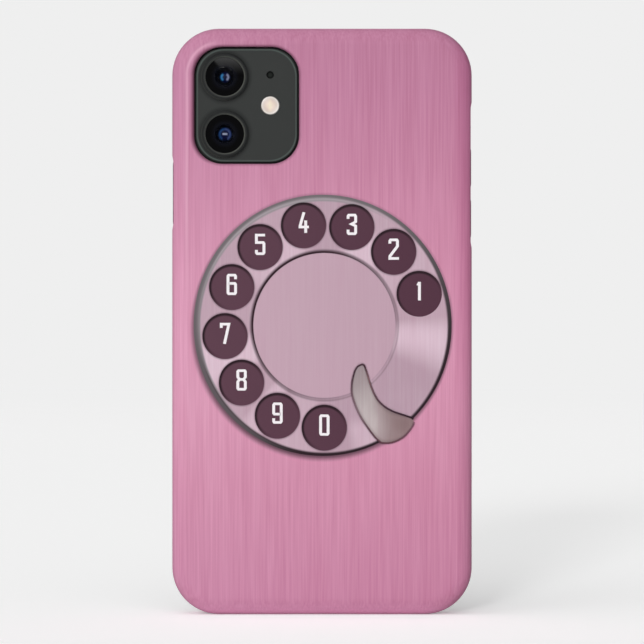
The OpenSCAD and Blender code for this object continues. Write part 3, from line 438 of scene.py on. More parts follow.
def inkRim(recipe, body, rim, inset):
    # A dark stroke to the edge, widest at the lower left: its width is a fixed part, a part that grows
    # with the facing, one that grows with its square, and a bulge at the bottom.
    look = ringLook["stroke"]
    facing = rim.facing(look["widestAt"])
    plain, grows, growsBySquare = look["width"]
    width = plain + facing * grows + facing * facing * growsBySquare
    width = width + rim.glint(*look["bulge"]) * look["bulgeMore"]
    soft = rim.glint(*look["softRay"]) * look["softMore"] + look["soft"]  # the left fades slowly inwards
    ink = recipe.between(rim.turned(*look["lit"]), look["darkTone"], look["litTone"])
    ink = recipe.paint(rim.turned(*look["greyed"]), ink, look["greyCoat"])
    inner = recipe.line(inset - width, *look["innerLine"]) * rim.turned(*look["inner"])
    ink = recipe.paint(inner, ink, look["innerCoat"])
    return recipe.blend(recipe.until(inset - width, -soft, soft), body, ink)


def ringFinish():
    recipe = newFinish("silveredRing", Specular_IOR_Level=0.1)
    rim = Round(recipe, dial["rimAt"], dial["rimRadii"])
    outwards = recipe.fade(rim.distance, *ringLook["halves"])
    part = {-1: 1 - outwards, 0: 1.0, 1: outwards}
    light, dull = [sum(rim.glint(turn, half) * part[lean] * share for turn, half, share, lean in ringLook[rays])
                   for rays in ("glints", "dulls")]
    body = recipe.between(recipe.within(light), ringLook["plainTone"], ringLook["glintTone"])
    body = recipe.paint(recipe.within(dull), body, ringLook["dullCoat"])
    body = brushOver(recipe, body, brushed(recipe, rim.x, rim.y, rim.z), ringLook["brushShare"])
    body = shadeByHoles(recipe, body)
    body = grooveRoundCentre(recipe, body)
    inset = dial["rimRadii"][1] - rim.distance
    body = inkRim(recipe, bevelRim(recipe, body, rim, inset), rim, inset)
    return wear(recipe, Base_Color=body,
                Roughness=rough(ringLook, recipe.noise(rim.x, 0.0, rim.z, scale=2.0)))


holeLook = {"rightTone": (80, 48, 63), "leftTone": (90, 59, 73), "driftOver": 52, "mottle": 0.3,
            "edge": (0.42, 0.98), "edgeTowards": 128, "edgeTurned": (-0.85, 0.55),
            "edgeCoat": (1, (34, 16, 25)), "roughness": (0.45, 0.05)}


def holeFinish():
    recipe = newFinish("plumHoles", Specular_IOR_Level=0.1)
    u, v, _ = recipe.ownMap()  # mm from the hole's middle
    distance = recipe.apart(u, v)
    a = math.radians(holeLook["edgeTowards"])
    facing = (u * math.cos(a) + v * math.sin(a)) / recipe.most(distance, 0.01)  # not over 0 in the middle
    edge = recipe.until(dial["holeRadii"][1] - distance, *holeLook["edge"])
    edge = edge * recipe.fade(facing, *holeLook["edgeTurned"])
    x = recipe.millimetres()[0]
    mottle = (recipe.noise(u, v, 0.0, scale=3.0, detail=2.0) - 0.5) * holeLook["mottle"]
    leftwards = recipe.within(0.5 - x / holeLook["driftOver"] + mottle)
    body = recipe.between(leftwards, holeLook["rightTone"], holeLook["leftTone"])
    body = recipe.paint(edge, body, holeLook["edgeCoat"])
    return wear(recipe, Base_Color=body, Roughness=rough(holeLook, recipe.noise(u, v, 1.0, scale=4.0)))


centreLook = {"leftTone": (195, 163, 178), "rightTone": (191, 159, 174), "half": 20.0, "brushShare": 0.25,
              "edge": 0.3, "edgeShare": 0.15, "edgeTowards": 130, "edgeLean": 0.3,
              "edgeCoat": (1, (70, 46, 58)), "roughness": (0.42, 0.05)}


def centreFinish():
    recipe = newFinish("paleCentre", Specular_IOR_Level=0.1)
    hub = Round(recipe, dial["centreAt"], dial["centreRadii"])
    reach = dial["centreRadii"][1]
    rightwards = recipe.drift(hub.x, centreLook["half"])
    body = recipe.between(rightwards, centreLook["leftTone"], centreLook["rightTone"])
    body = brushOver(recipe, body, brushed(recipe, hub.x, hub.y, hub.z), centreLook["brushShare"])
    edge = recipe.fade(hub.distance, reach - centreLook["edge"], reach) * centreLook["edgeShare"]
    edge = edge * (0.5 + hub.facing(centreLook["edgeTowards"]) * centreLook["edgeLean"])
    body = recipe.paint(edge, body, centreLook["edgeCoat"])
    grain = recipe.noise(hub.x, hub.y, hub.z, scale=1.5)
    return wear(recipe, Base_Color=body, Roughness=rough(centreLook, grain))


# Sizes are in mm, and "cut" is the share of the width and height that a corner loses.
numerals = {"height": 5.55, "width": 2.72, "upright": 0.75, "level": 0.68, "shift": (0.01, 0.69),
            "cut": (0.10, 0.055), "darkTone": (238, 232, 236), "lightTone": (246, 242, 244),
            "roughness": (0.45, 0.06)}


def numeralPaths():
    # Each numeral as strokes in a box from 0 to 1; a stroke that closes on itself ends with True.
    c, d = numerals["cut"]  # corner cuts across and up
    return {
        "1": [([(0.52, 0.0), (0.52, 1.0)], False), ([(0.52, 0.97), (0.30, 0.80)], False)],
        "2": [([(0, 0.80), (0, 1 - d), (c, 1), (1 - c, 1), (1, 1 - d), (1, 0.66), (0, 0.12), (0, 0)], False),
              ([(-0.2, 0), (1.2, 0)], False)],
        "3": [([(0, 0.80), (0, 1 - d), (c, 1), (1 - c, 1), (1, 1 - d), (1, 0.64), (0.46, 0.52), (1, 0.42),
                (1, d), (1 - c, 0), (c, 0), (0, d), (0, 0.22)], False)],
        "4": [([(0.55, 1.06), (0.03, 0.32)], False), ([(-0.16, 0.27), (1.2, 0.27)], False),
              ([(0.78, 0.62), (0.78, -0.05)], False)],
        "5": [([(1.15, 1), (0, 1), (0, 0.60), (1 - c, 0.60), (1, 0.60 - d), (1, d), (1 - c, 0), (c, 0),
                (0, d), (0, 0.20)], False)],
        "6": [([(1, 0.78), (1, 1 - d), (1 - c, 1), (c, 1), (0, 1 - d), (0, d), (c, 0), (1 - c, 0), (1, d),
                (1, 0.50), (1 - c, 0.50 + d), (0.1, 0.50 + d)], False)],
        "7": [([(0, 0.80), (0, 1), (1, 1), (0.42, -0.06)], False)],
        "8": [([(0, 1 - d), (c, 1), (1 - c, 1), (1, 1 - d), (1, 0.66), (0.78, 0.53), (0.22, 0.53),
                (0, 0.66)], True),
              ([(0, d), (c, 0), (1 - c, 0), (1, d), (1, 0.40), (0.78, 0.53), (0.22, 0.53),
                (0, 0.40)][::-1], True)],
        "9": [([(0, 0.22), (0, d), (c, 0), (1 - c, 0), (1, d), (1, 1 - d), (1 - c, 1), (c, 1), (0, 1 - d),
                (0, 0.50), (c, 0.50 - d), (0.9, 0.50 - d)], False)],
        "0": [([(0, d), (0, 1 - d), (c, 1), (1 - c, 1), (1, 1 - d), (1, d), (1 - c, 0), (c, 0)], True)],
    }


def holeCentres():  # equal turns on an ellipse
    angle = np.radians(dial["firstHole"] + dial["pitch"] * np.arange(dial["holes"]))
    turns = np.stack([np.cos(angle), np.sin(angle)], 1)
    return np.array(dial["holesAt"]) + np.array(dial["holeCircle"]) * turns


def buildNumerals():
    paths = numeralPaths()
    box = np.array([numerals["width"] - numerals["upright"], numerals["height"] - numerals["level"]])
    parts = []
    for character, centre in zip("1234567890", holeCentres()):
        corner = centre + numerals["shift"] - box / 2
        for step, (path, closed) in enumerate(paths[character]):
            parts.append(ribbon(np.asarray(path, float) * box + corner, numerals["upright"] / 2,
                                numerals["level"] / 2, *inkLayer(3, step), closed))
    return gather(parts)


def whiteFinish():
    recipe = newFinish("whiteInk", Specular_IOR_Level=0.25)
    speck = recipe.noise(*recipe.millimetres(), scale=3.0, detail=2.0)
    return wear(recipe, Base_Color=recipe.between(speck, numerals["darkTone"], numerals["lightTone"]),
                Roughness=rough(numerals, speck))


# The finger stop lies between two curves that start at its tip. Its own map runs along them and from
# the outer to the inner one. The outline's map runs from the curves' far end along the outer one to
# the tip, and back along the inner one.
fingerStop = {
    "outer": [(10.43, 65.68), (9.33, 65.1), (8.46, 63.48), (7.83, 60.28), (8.1, 57.03), (10.19, 51.98),
              (13.41, 47.29), (14.88, 45.77), (16.06, 45.17), (18.73, 45.4), (21.54, 46.92),
              (23.63, 49.46), (24.05, 50.64)],
    "inner": [(10.43, 65.68), (11.06, 65.37), (11.76, 63.45), (12.84, 59.97), (14.17, 57.03),
              (15.88, 55.04), (18.18, 53.58), (20.75, 52.63), (23.26, 51.79), (23.89, 51.32)],
    "rows": 90, "columns": 12, "curveSteps": 24,
    "tones": [(0.0, (150, 134, 138)), (0.2, (160, 146, 148)), (0.42, (186, 174, 175)),
              (0.58, (188, 174, 175)), (0.74, (148, 126, 128)), (1.0, (136, 110, 112))],
    "dimAlong": (0.2, 0.7), "dimAcross": (0.25, 1.0), "dimCoat": (0.7, (136, 113, 115)),
    "hollowAt": (21.2, 49.9), "hollow": (0.4, 3.4), "hollowCoat": (0.6, (130, 106, 107)),
    "edge": (0.0, 0.16), "edgeCoat": (0.45, (96, 76, 80)), "brushShare": 0.6, "grainUp": 0.1,
    "roughness": (0.38, 0.1)}
stopOutline = {
    "width": 0.62, "softFrom": 0.3, "roughness": (0.45, 0.05),
    "tones": [(0.0, (120, 84, 98)), (0.12, (98, 62, 72)), (0.22, (92, 62, 72)), (0.3, (128, 104, 112)),
              (0.38, (112, 86, 96)), (0.44, (66, 44, 54)), (0.53, (70, 46, 56)), (0.6, (124, 92, 96)),
              (0.72, (96, 68, 78)), (0.84, (64, 40, 52)), (1.0, (42, 24, 34))]}
stopShade = {"width": 1.3, "softFrom": 0.15, "share": 0.4, "darkTone": (58, 40, 48), "lightTone": (66, 46, 56)}


def smoothPath(points, count):
    # Points at equal steps along a Catmull-Rom curve through the given ones.
    p = np.asarray(points, float)
    p = np.concatenate([[2 * p[0] - p[1]], p, [2 * p[-1] - p[-2]]])
    t = np.linspace(0, 1, fingerStop["curveSteps"], endpoint=False)[None, :, None]
    a, b, c, d = (p[k:len(p) - 3 + k][:, None, :] for k in range(4))
    curve = 0.5 * (2 * b + (c - a) * t + (2 * a - 5 * b + 4 * c - d) * t ** 2
                   + (3 * b - a - 3 * c + d) * t ** 3)
    curve = np.concatenate([curve.reshape(-1, 2), p[-2:-1]])
    length = np.concatenate([[0], np.cumsum(np.linalg.norm(np.diff(curve, axis=0), axis=1))])
    want = np.linspace(0, length[-1], count)
    return np.stack([np.interp(want, length, curve[:, k]) for k in range(2)], 1)


def ownGrid(rows, columns):  # a map from 0 to 1 along the rows and across the columns, for face and underside
    local = np.stack(np.meshgrid(np.linspace(0, 1, rows), np.linspace(0, 1, columns), indexing="ij"), -1)
    return np.concatenate([local.reshape(-1, 2)] * 2)


def stopFinish():
    recipe = newFinish("brushedStop", Specular_IOR_Level=0.2)
    along, across, _ = recipe.ownMap()
    x, y, z = recipe.millimetres()
    body = recipe.ramp(along, fingerStop["tones"])
    dim = recipe.fade(across, *fingerStop["dimAcross"]) * recipe.fade(along, *fingerStop["dimAlong"])
    body = recipe.paint(dim, body, fingerStop["dimCoat"])
    hollowX, hollowZ = fingerStop["hollowAt"]
    hollow = recipe.until(recipe.apart(x - hollowX, z - hollowZ), *fingerStop["hollow"])
    body = recipe.paint(hollow, body, fingerStop["hollowCoat"])
    body = brushOver(recipe, body, brushed(recipe, x, y, z), fingerStop["brushShare"])
    edge = recipe.until(recipe.least(across, 1 - across), *fingerStop["edge"])
    body = recipe.paint(edge, body, fingerStop["edgeCoat"])
    grain = recipe.noise(x, y, z * fingerStop["grainUp"], scale=3.0)
    return wear(recipe, Base_Color=body, Roughness=rough(fingerStop, grain))


def softSides(recipe, across, start):  # 1 along the middle of a ribbon, 0 at its two sides
    return recipe.until(abs(across * 2 - 1), start, 1.0)


def outlineFinish():
    recipe = newFinish("stopOutline", Specular_IOR_Level=0.1)
    along, across, _ = recipe.ownMap()
    return wear(recipe, Base_Color=recipe.ramp(along, stopOutline["tones"]),
                Roughness=rough(stopOutline, recipe.noise(*recipe.millimetres(), scale=3.0)),
                Alpha=softSides(recipe, across, stopOutline["softFrom"]))


def shadeFinish():
    recipe = newFinish("stopShade", Specular_IOR_Level=0.0, Roughness=0.6)
    across = recipe.ownMap()[1]
    grain = recipe.noise(*recipe.millimetres(), scale=2.0)
    return wear(recipe, Base_Color=recipe.between(grain, stopShade["darkTone"], stopShade["lightTone"]),
                Alpha=softSides(recipe, across, stopShade["softFrom"]) * stopShade["share"])


def buildStop():
    # The stop fills the grid between its two curves; outline and shade follow both curves in one run.
    outer, inner = [smoothPath(fingerStop[side], fingerStop["rows"]) for side in ("outer", "inner")]
    share = np.linspace(0, 1, fingerStop["columns"])[None, :, None]
    grid = outer[:, None, :] * (1 - share) + inner[:, None, :] * share
    edge = np.concatenate([outer[::-1], inner[1:]])
    line, reach = stopOutline["width"] / 2, stopShade["width"] / 2
    addInk("fingerStopShade", ribbon(edge, reach, reach, *inkLayer(2, 1)), shadeFinish(), ownGrid(len(edge), 2))
    addInk("fingerStop", slab(grid, *inkLayer(3)), stopFinish(), ownGrid(*grid.shape[:2]))
    addInk("fingerStopOutline", ribbon(edge, line, line, *inkLayer(4)), outlineFinish(), ownGrid(len(edge), 2))


def buildDial():
    addInk("dialRing", disc(dial["rimAt"], dial["rimRadii"], *dial["rimGrid"], *inkLayer(1)), ringFinish())
    addInk("dialCentre", disc(dial["centreAt"], dial["centreRadii"], *dial["centreGrid"], *inkLayer(2)),
           centreFinish())
    centres = holeCentres()
    holes = [disc(centre, dial["holeRadii"], *dial["holeGrid"], *inkLayer(2)) for centre in centres]
    maps = [points[:, [0, 2]] - centre for (points, _), centre in zip(holes, centres)]
    addInk("dialHoles", gather(holes), holeFinish(), np.concatenate(maps))
    addInk("dialNumerals", buildNumerals(), whiteFinish())
    buildStop()


buildDial()
print("dial printed")


# Lengths are in mm. The case's tones go with the height above the foot, and depths are counted
# inwards from the flat back.
cameraOpening = {"middle": (-19.75, 133.65), "size": (27.5, 30.7), "corner": 7.4}
caseLook = {
    "middle": (0.0, 77.0), "size": (78.8, 154.0), "corner": 12.35,
    "heights": [(0.0, (199, 134, 164)), (14.0, (203, 139, 168)), (35.0, (210, 145, 173)),
                (57.0, (218, 155, 182)), (75.0, (217, 154, 181)), (90.0, (213, 149, 177)),
                (115.0, (203, 139, 168)), (138.0, (195, 132, 162)), (154.0, (191, 129, 158))],
    "drift": 40.0, "driftCoat": (1, (247, 240, 243)), "backEnds": (0.9, 0.4), "roughness": (0.5, 0.25),
    "dialShade": {"reach": 0.82, "longest": (248, -0.1, 1.0), "reachMore": 1.05, "darkest": 252,
                  "share": 0.57, "lean": 0.31, "coat": (1, (72, 52, 62))},
    # painted shade where the back turns to the sides, more on the right
    "turn": {"end": (3.8, 5.4), "start": (1.4, 3.2), "aside": (20.0, 34.0), "share": 0.3,
             "startRight": (0.4, 2.0), "asideRight": (20.0, 38.0), "shareRight": 0.2,
             "coat": (1, (118, 60, 92))},
    # painted light: the foot is made paler
    "foot": {"height": (0.2, 3.8), "coat": (0.27, (246, 176, 214))},
    # painted shade: the right side darker and redder, more so higher up
    "rightShade": {"from": (33.5, 38.5), "height": (45.0, 85.0), "least": 0.4, "more": 0.6,
              "coat": (1, (250, 231, 243))},
    # painted highlight where the back starts to bend round the upper left corner
    "cornerHighlight": {"line": (-4.0, 0.65), "leftOf": (-32.0, -26.0), "height": (72.0, 108.0),
                   "coat": (0.42, (236, 186, 208))},
    # painted shade round the camera opening and on its wall
    "openingShade": {"left": (8.0, 13.5), "reach": 0.9, "reachLeft": 0.45, "fall": (0.1, 1.0), "share": 0.45,
               "shareLeft": 0.4, "coat": (1, (96, 52, 74)), "wall": (0.0, 0.2), "wallEnds": (6.0, 0.2),
               "wallShadeCoat": (1, (12, 9, 11))}}


def squareRound(recipe, x, z, shape):  # distance outwards from a rectangle with round corners
    (middleX, middleZ), (width, tall), corner = shape["middle"], shape["size"], shape["corner"]
    qx = abs(x - middleX) - (width / 2 - corner)
    qz = abs(z - middleZ) - (tall / 2 - corner)
    inside = recipe.least(recipe.most(qx, qz), 0.0)
    return recipe.apart(recipe.most(qx, 0.0), recipe.most(qz, 0.0)) + inside - corner


def nearBack(recipe, y, ends):  # 1 close to the flat back, 0 past the first depth
    return recipe.fade(-y, -backFace - ends[0], -backFace - ends[1])


def shadeByDial(recipe, body, rim, onBack):  # soft, and longest towards the lower left
    look = caseLook["dialShade"]
    past = rim.distance - dial["rimRadii"][1]
    reach = look["reach"] + rim.turned(*look["longest"]) * look["reachMore"]
    strength = look["share"] + rim.facing(look["darkest"]) * look["lean"]
    shade = recipe.until(past / reach, 0.0, 1.0) * strength
    return recipe.paint(recipe.within(shade * onBack), body, look["coat"])


def shadeEdges(recipe, body, x, y, z):
    # A painted shade: a darker line where the back turns to the sides, more to the right, and a darker,
    # redder right side. A painted light: a paler foot.
    turn, foot, rightShade = [caseLook[part] for part in ("turn", "foot", "rightShade")]
    deep = y - backFace
    # painted shade where the back turns to the sides, stronger on the right
    ends = recipe.until(deep, *turn["end"])
    turned = recipe.fade(deep, *turn["start"]) * ends * recipe.fade(abs(x), *turn["aside"])
    turnedRight = recipe.fade(deep, *turn["startRight"]) * ends * recipe.fade(x, *turn["asideRight"])
    turned = recipe.within(turned * turn["share"] + turnedRight * turn["shareRight"])
    body = recipe.paint(turned, body, turn["coat"])
    # painted light: a paler foot
    body = recipe.paint(recipe.until(z, *foot["height"]), body, foot["coat"])
    # painted shade: the right side darker and redder
    higher = rightShade["least"] + recipe.fade(z, *rightShade["height"]) * rightShade["more"]
    return recipe.paint(recipe.fade(x, *rightShade["from"]) * higher, body, rightShade["coat"], "MULTIPLY")


def paintCornerHighlight(recipe, body, x, z, onBack):  # a painted highlight where the back starts to bend, round the upper left corner
    look = caseLook["cornerHighlight"]
    band = recipe.line(squareRound(recipe, x, z, caseLook), *look["line"])
    band = band * recipe.until(x, *look["leftOf"]) * recipe.fade(z, *look["height"])
    return recipe.paint(band * onBack, body, look["coat"])


def shadeOpening(recipe, body, x, y, z):  # painted shade: a dark edge round the camera opening, and its wall painted near black as shade
    look = caseLook["openingShade"]
    mouth = squareRound(recipe, x, z, cameraOpening)
    left = recipe.fade(cameraOpening["middle"][0] - x, *look["left"])
    shade = recipe.until(mouth / (look["reach"] + left * look["reachLeft"]), *look["fall"])
    body = recipe.paint(shade * (look["share"] + left * look["shareLeft"]), body, look["coat"])
    wall = recipe.fade(-mouth, *look["wall"]) * nearBack(recipe, y, look["wallEnds"])
    return recipe.paint(wall, body, look["wallShadeCoat"])


def caseFinish():
    recipe = newFinish("printedCase", Specular_IOR_Level=0.1)
    rim = Round(recipe, dial["rimAt"], dial["rimRadii"])
    x, y, z = rim.x, rim.y, rim.z
    tall = caseHigh.z / mm
    body = recipe.ramp(z / tall, [(height / tall, level) for height, level in caseLook["heights"]])
    # a little darker towards the right
    body = recipe.paint(recipe.drift(x, caseLook["drift"]), body, caseLook["driftCoat"], "MULTIPLY")
    marks = brushed(recipe, x, y, z)
    body = brushOver(recipe, body, marks)
    onBack = nearBack(recipe, y, caseLook["backEnds"])
    body = shadeByDial(recipe, body, rim, onBack)
    body = shadeEdges(recipe, body, x, y, z)
    body = paintCornerHighlight(recipe, body, x, z, onBack)
    body = shadeOpening(recipe, body, x, y, z)
    return wear(recipe, Base_Color=body, Roughness=rough(caseLook, marks))


def middleOf(node):  # a node's middle across and up, in mm
    low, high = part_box(node)
    return ((low.x + high.x) / 2 / mm, (low.z + high.z) / 2 / mm)


def fromMiddle(recipe, x, z, node):  # distance from a node's middle, across and up
    cx, cz = middleOf(node)
    return recipe.apart(x - cx, z - cz)


plateau = {"gap": 0.45, "corner": 7.5, "darkTone": (47, 49, 48), "lightTone": (52, 54, 53), "grainShare": 0.5,
           "ringShade": (6.3, 7.6), "ringCoat": (0.6, (18, 20, 20)), "edgeHighlight": (0.32, 0.36),
           "edgeCoat": (1, (73, 83, 79)), "foot": (-0.05, 0.1), "gapShadeCoat": (1, (10, 11, 11)),
           "roughness": (0.5, 0.1)}


def backGlassFinish():
    recipe = newFinish("cameraPlateau", Specular_IOR_Level=0.12)
    x, y, z = recipe.millimetres()
    gap = plateau["gap"]
    size = [length - 2 * gap for length in cameraOpening["size"]]
    edge, foot = [squareRound(recipe, x, z, {"middle": cameraOpening["middle"], "size": size, "corner": corner})
                  for corner in (plateau["corner"], cameraOpening["corner"] - gap)]
    grain = recipe.noise(x, y, z, scale=6.0, detail=2.0)
    body = recipe.between(grain * plateau["grainShare"], plateau["darkTone"], plateau["lightTone"])
    for node in ("upper_lens_ring", "lower_lens_ring"):
        shade = recipe.until(fromMiddle(recipe, x, z, node), *plateau["ringShade"])
        body = recipe.paint(shade, body, plateau["ringCoat"])
    # painted highlight along the plateau's rounded edge
    body = recipe.paint(recipe.line(-edge, *plateau["edgeHighlight"]), body, plateau["edgeCoat"])
    # painted shade: the gap round the plateau's foot made near black
    body = recipe.paint(recipe.fade(foot, *plateau["foot"]), body, plateau["gapShadeCoat"])
    return wear(recipe, Base_Color=body, Roughness=rough(plateau, grain))


# Lines on the lens rings are (distance from the lens's middle, half width) in mm. The thin bright line and the
# line towards the lower left are painted highlights, and the outer part of each ring is painted shade that
# pales towards the plateau.
lensRing = {"darkTone": (17, 19, 19), "lightTone": (23, 25, 25), "bright": (5.2, 0.36),
            "brightTurned": (-0.9, 0.9), "brightLeft": (60, 62, 60), "brightRight": (74, 76, 71),
            "slopeHighlight": (6.15, 0.34), "lowLeft": (0.82, 0.57), "slopeHighlightTurned": (0.1, 0.95),
            "slopeHighlightCoat": (0.8, (62, 64, 61)), "outerShade": (5.8, 6.3), "outerShadeEnds": (6.6, 7.0),
            "outerShadeCoat": (0.4, (40, 43, 42)), "roughness": (0.3, 0.1)}


def ringMetalFinish():
    recipe = newFinish("lensRing", Specular_IOR_Level=0.12)
    x, y, z = recipe.millimetres()
    grain = recipe.noise(x, y, z, scale=3.0, detail=2.0)
    body = recipe.between(grain, lensRing["darkTone"], lensRing["lightTone"])
    leftPart, lowPart = lensRing["lowLeft"]
    for node in ("upper_lens_ring", "lower_lens_ring"):
        cx, cz = middleOf(node)
        distance = fromMiddle(recipe, x, z, node)
        length = recipe.most(distance, 0.1)  # not 0 in the middle
        right = (x - cx) / length
        lowLeft = ((cx - x) * leftPart + (cz - z) * lowPart) / length
        # a painted highlight: the thin bright line, brighter on the right
        bright = recipe.between(recipe.fade(right, *lensRing["brightTurned"]), lensRing["brightLeft"],
                                lensRing["brightRight"])
        body = recipe.blend(recipe.line(distance, *lensRing["bright"]), body, bright)
        # a painted highlight on the ring's outer side towards the lower left
        slopeHighlight = recipe.line(distance, *lensRing["slopeHighlight"]) * recipe.fade(lowLeft, *lensRing["slopeHighlightTurned"])
        body = recipe.paint(slopeHighlight, body, lensRing["slopeHighlightCoat"])
        # painted shade round the ring's outer part, paling into the plateau
        outerShade = recipe.fade(distance, *lensRing["outerShade"]) * recipe.until(distance, *lensRing["outerShadeEnds"])
        body = recipe.paint(outerShade, body, lensRing["outerShadeCoat"])
    return wear(recipe, Base_Color=body, Roughness=rough(lensRing, grain))


barrel = {"darkTone": (5, 6, 9), "lightTone": (7, 8, 11), "beside": (-19.0, -17.0), "mouth": (0.3, 0.8),
          "mouthTone": (37, 40, 38), "besideTone": (19, 21, 20), "roughness": (0.7, 0.05)}


def barrelFinish():  # matt black inside the lenses; the small microphone beside them is a little paler
    recipe = newFinish("lensBarrel", Specular_IOR_Level=0.04)
    x, y, z = recipe.millimetres()
    grain = recipe.noise(x, y, z, scale=1.5)
    mouth = recipe.fade(fromMiddle(recipe, x, z, "rear_microphone"), *barrel["mouth"])
    body = recipe.blend(recipe.fade(x, *barrel["beside"]),
                        recipe.between(grain, barrel["darkTone"], barrel["lightTone"]),
                        recipe.between(mouth, barrel["mouthTone"], barrel["besideTone"]))
    return wear(recipe, Base_Color=body, Roughness=rough(barrel, grain))


# The upper element shows a crescent on each side, and the lower one a hoop that is open below and a
# bar: all painted reflections of light in the coating. Lines are (distance from the middle, half width) in mm.
lensElement = {
    "radius": 2.0,
    "tones": [(0.0, (3, 6, 52)), (0.35, (5, 12, 66)), (0.6, (10, 20, 62)), (0.85, (12, 20, 42)),
              (1.0, (8, 12, 22))],
    "crescent": (0.88, 0.5), "crescentSide": (0.3, 0.7), "crescentShare": 0.95,
    "crescentLeft": (70, 168, 244), "crescentRight": (186, 194, 236),
    "hoop": (1.38, 0.55), "hoopShare": 0.92, "hoopLeft": (44, 92, 160), "hoopRight": (82, 104, 170),
    "gapBelow": (0.5, 0.9), "gapAside": (0.45, 0.8), "bar": (0.05, 0.42),
    "barCoat": (0.95, (204, 216, 246)), "soft": 0.3, "halfWay": 0.5, "roughness": (0.3, 0.04)}


def elementFinish():
    recipe = newFinish("coatedElementReflections", Specular_IOR_Level=0.1)
    x, y, z = recipe.millimetres()
    (cx, lowZ), (_, highZ) = middleOf("lower_lens_element"), middleOf("upper_lens_element")
    halfWay, soft = (lowZ + highZ) / 2, lensElement["halfWay"]
    upper = recipe.fade(z, halfWay - soft, halfWay + soft)  # 1 on the upper element, 0 on the lower one
    ax, az = x - cx, z - (upper * (highZ - lowZ) + lowZ)
    distance = recipe.apart(ax, az)
    side = abs(ax) / recipe.most(distance, 0.05)  # not over 0 in the middle
    right = recipe.fade(ax, -lensElement["soft"], lensElement["soft"])
    # blue by the distance from the middle: the coating's tint with painted reflection
    body = recipe.ramp(distance / lensElement["radius"], lensElement["tones"])
    # painted reflections in the coating: crescents on the upper element, a hoop and a bar on the lower one
    crescent = recipe.line(distance, *lensElement["crescent"])
    crescent = crescent * recipe.fade(side, *lensElement["crescentSide"]) * upper
    body = recipe.blend(crescent * lensElement["crescentShare"], body,
                        recipe.between(right, lensElement["crescentLeft"], lensElement["crescentRight"]))
    nearAxis = recipe.until(abs(ax), *lensElement["gapAside"])
    opening = recipe.fade(-az, *lensElement["gapBelow"]) * nearAxis
    hoop = recipe.line(distance, *lensElement["hoop"]) * (1 - upper) * (1 - opening)
    body = recipe.blend(hoop * lensElement["hoopShare"], body,
                        recipe.between(right, lensElement["hoopLeft"], lensElement["hoopRight"]))
    bar = recipe.line(az, *lensElement["bar"]) * nearAxis * (1 - upper)
    body = recipe.paint(bar, body, lensElement["barCoat"])
    return wear(recipe, Base_Color=body, Roughness=rough(lensElement, recipe.noise(x, y, z, scale=5.0)))


lensCover = {"clear": 0.12, "clearUpTo": (2.05, 2.9), "middleTone": (15, 17, 27), "darkTone": (1, 1, 2),
             "darkFrom": (1.6, 4.0), "roughness": (0.015, 0.01)}


def coverFinish():  # dark glass that is clear only over the front element
    recipe = newFinish("lensCover", Specular_IOR_Level=0.05)
    x, y, z = recipe.millimetres()
    distance = recipe.least(*[fromMiddle(recipe, x, z, node)
                              for node in ("upper_lens_cover", "lower_lens_cover")])
    outwards = recipe.fade(distance, *lensCover["darkFrom"])
    body = recipe.between(outwards, lensCover["middleTone"], lensCover["darkTone"])
    solid = recipe.fade(distance, *lensCover["clearUpTo"]) * (1 - lensCover["clear"]) + lensCover["clear"]
    return wear(recipe, Base_Color=body, Alpha=solid,
                Roughness=rough(lensCover, recipe.noise(x, y, z, scale=0.8, detail=2.0)))


flash = {"radius": 2.5, "tones": [(0.0, (229, 218, 195)), (0.3, (230, 212, 194)), (0.52, (219, 200, 187)),
                                  (0.68, (213, 198, 188)), (0.86, (222, 214, 206)), (0.9, (216, 208, 200)),
                                  (0.95, (52, 53, 52)), (1.0, (40, 41, 40))],
         "beamHalf": 0.7, "beamEnds": (1.0, 1.9), "beamCoat": (0.35, (240, 228, 194)),
         "ridges": 16.0, "relief": (0.02, 0.5), "roughness": (0.25, 0.1)}


def flashFinish():
    recipe = newFinish("flashWindow", Specular_IOR_Level=0.5)
    x, y, z = recipe.millimetres()
    distance = fromMiddle(recipe, x, z, "flash_window")
    body = recipe.ramp(distance / flash["radius"], flash["tones"])
    beam = recipe.line(x - middleOf("flash_window")[0], 0.0, flash["beamHalf"])
    beam = beam * recipe.until(distance, *flash["beamEnds"])
    body = recipe.paint(beam, body, flash["beamCoat"])
    ridges = recipe.sum("SINE", distance * flash["ridges"])
    return wear(recipe, Base_Color=body, Roughness=rough(flash, recipe.noise(x, y, z, scale=3.0)),
                Normal=recipe.bump(ridges, *flash["relief"]))


speakerMesh = {"weave": 26.0, "hollow": (-0.2, 0.5), "wireTone": (52, 52, 54), "hollowTone": (12, 12, 13),
               "relief": 0.03, "roughness": (0.45, 0.3)}


def meshFinish():
    recipe = newFinish("speakerMesh", Metallic=0.6)
    x, y, z = recipe.millimetres()
    weave = recipe.sum("SINE", x * speakerMesh["weave"]) * recipe.sum("SINE", (y + z) * speakerMesh["weave"])
    hollow = recipe.fade(weave, *speakerMesh["hollow"])
    return wear(recipe, Base_Color=recipe.between(hollow, speakerMesh["wireTone"], speakerMesh["hollowTone"]),
                Roughness=rough(speakerMesh, hollow), Normal=recipe.bump(1 - hollow, speakerMesh["relief"]))


screen = {"border": 1.2, "corner": 8.0, "soft": 0.12, "notchHalf": 16.5, "notchTall": 5.2, "notchSoft": 0.15,
          "borderTone": (6, 6, 7), "panelTone": (38, 39, 44), "smear": (0.06, 0.03), "eyeRing": (1.7, 0.35),
          "eyeRingCoat": (0.8, (44, 46, 52)), "eye": (0.5, 1.1), "eyeCoat": (1, (18, 30, 62)),
          "roughness": (0.04, 0.05)}


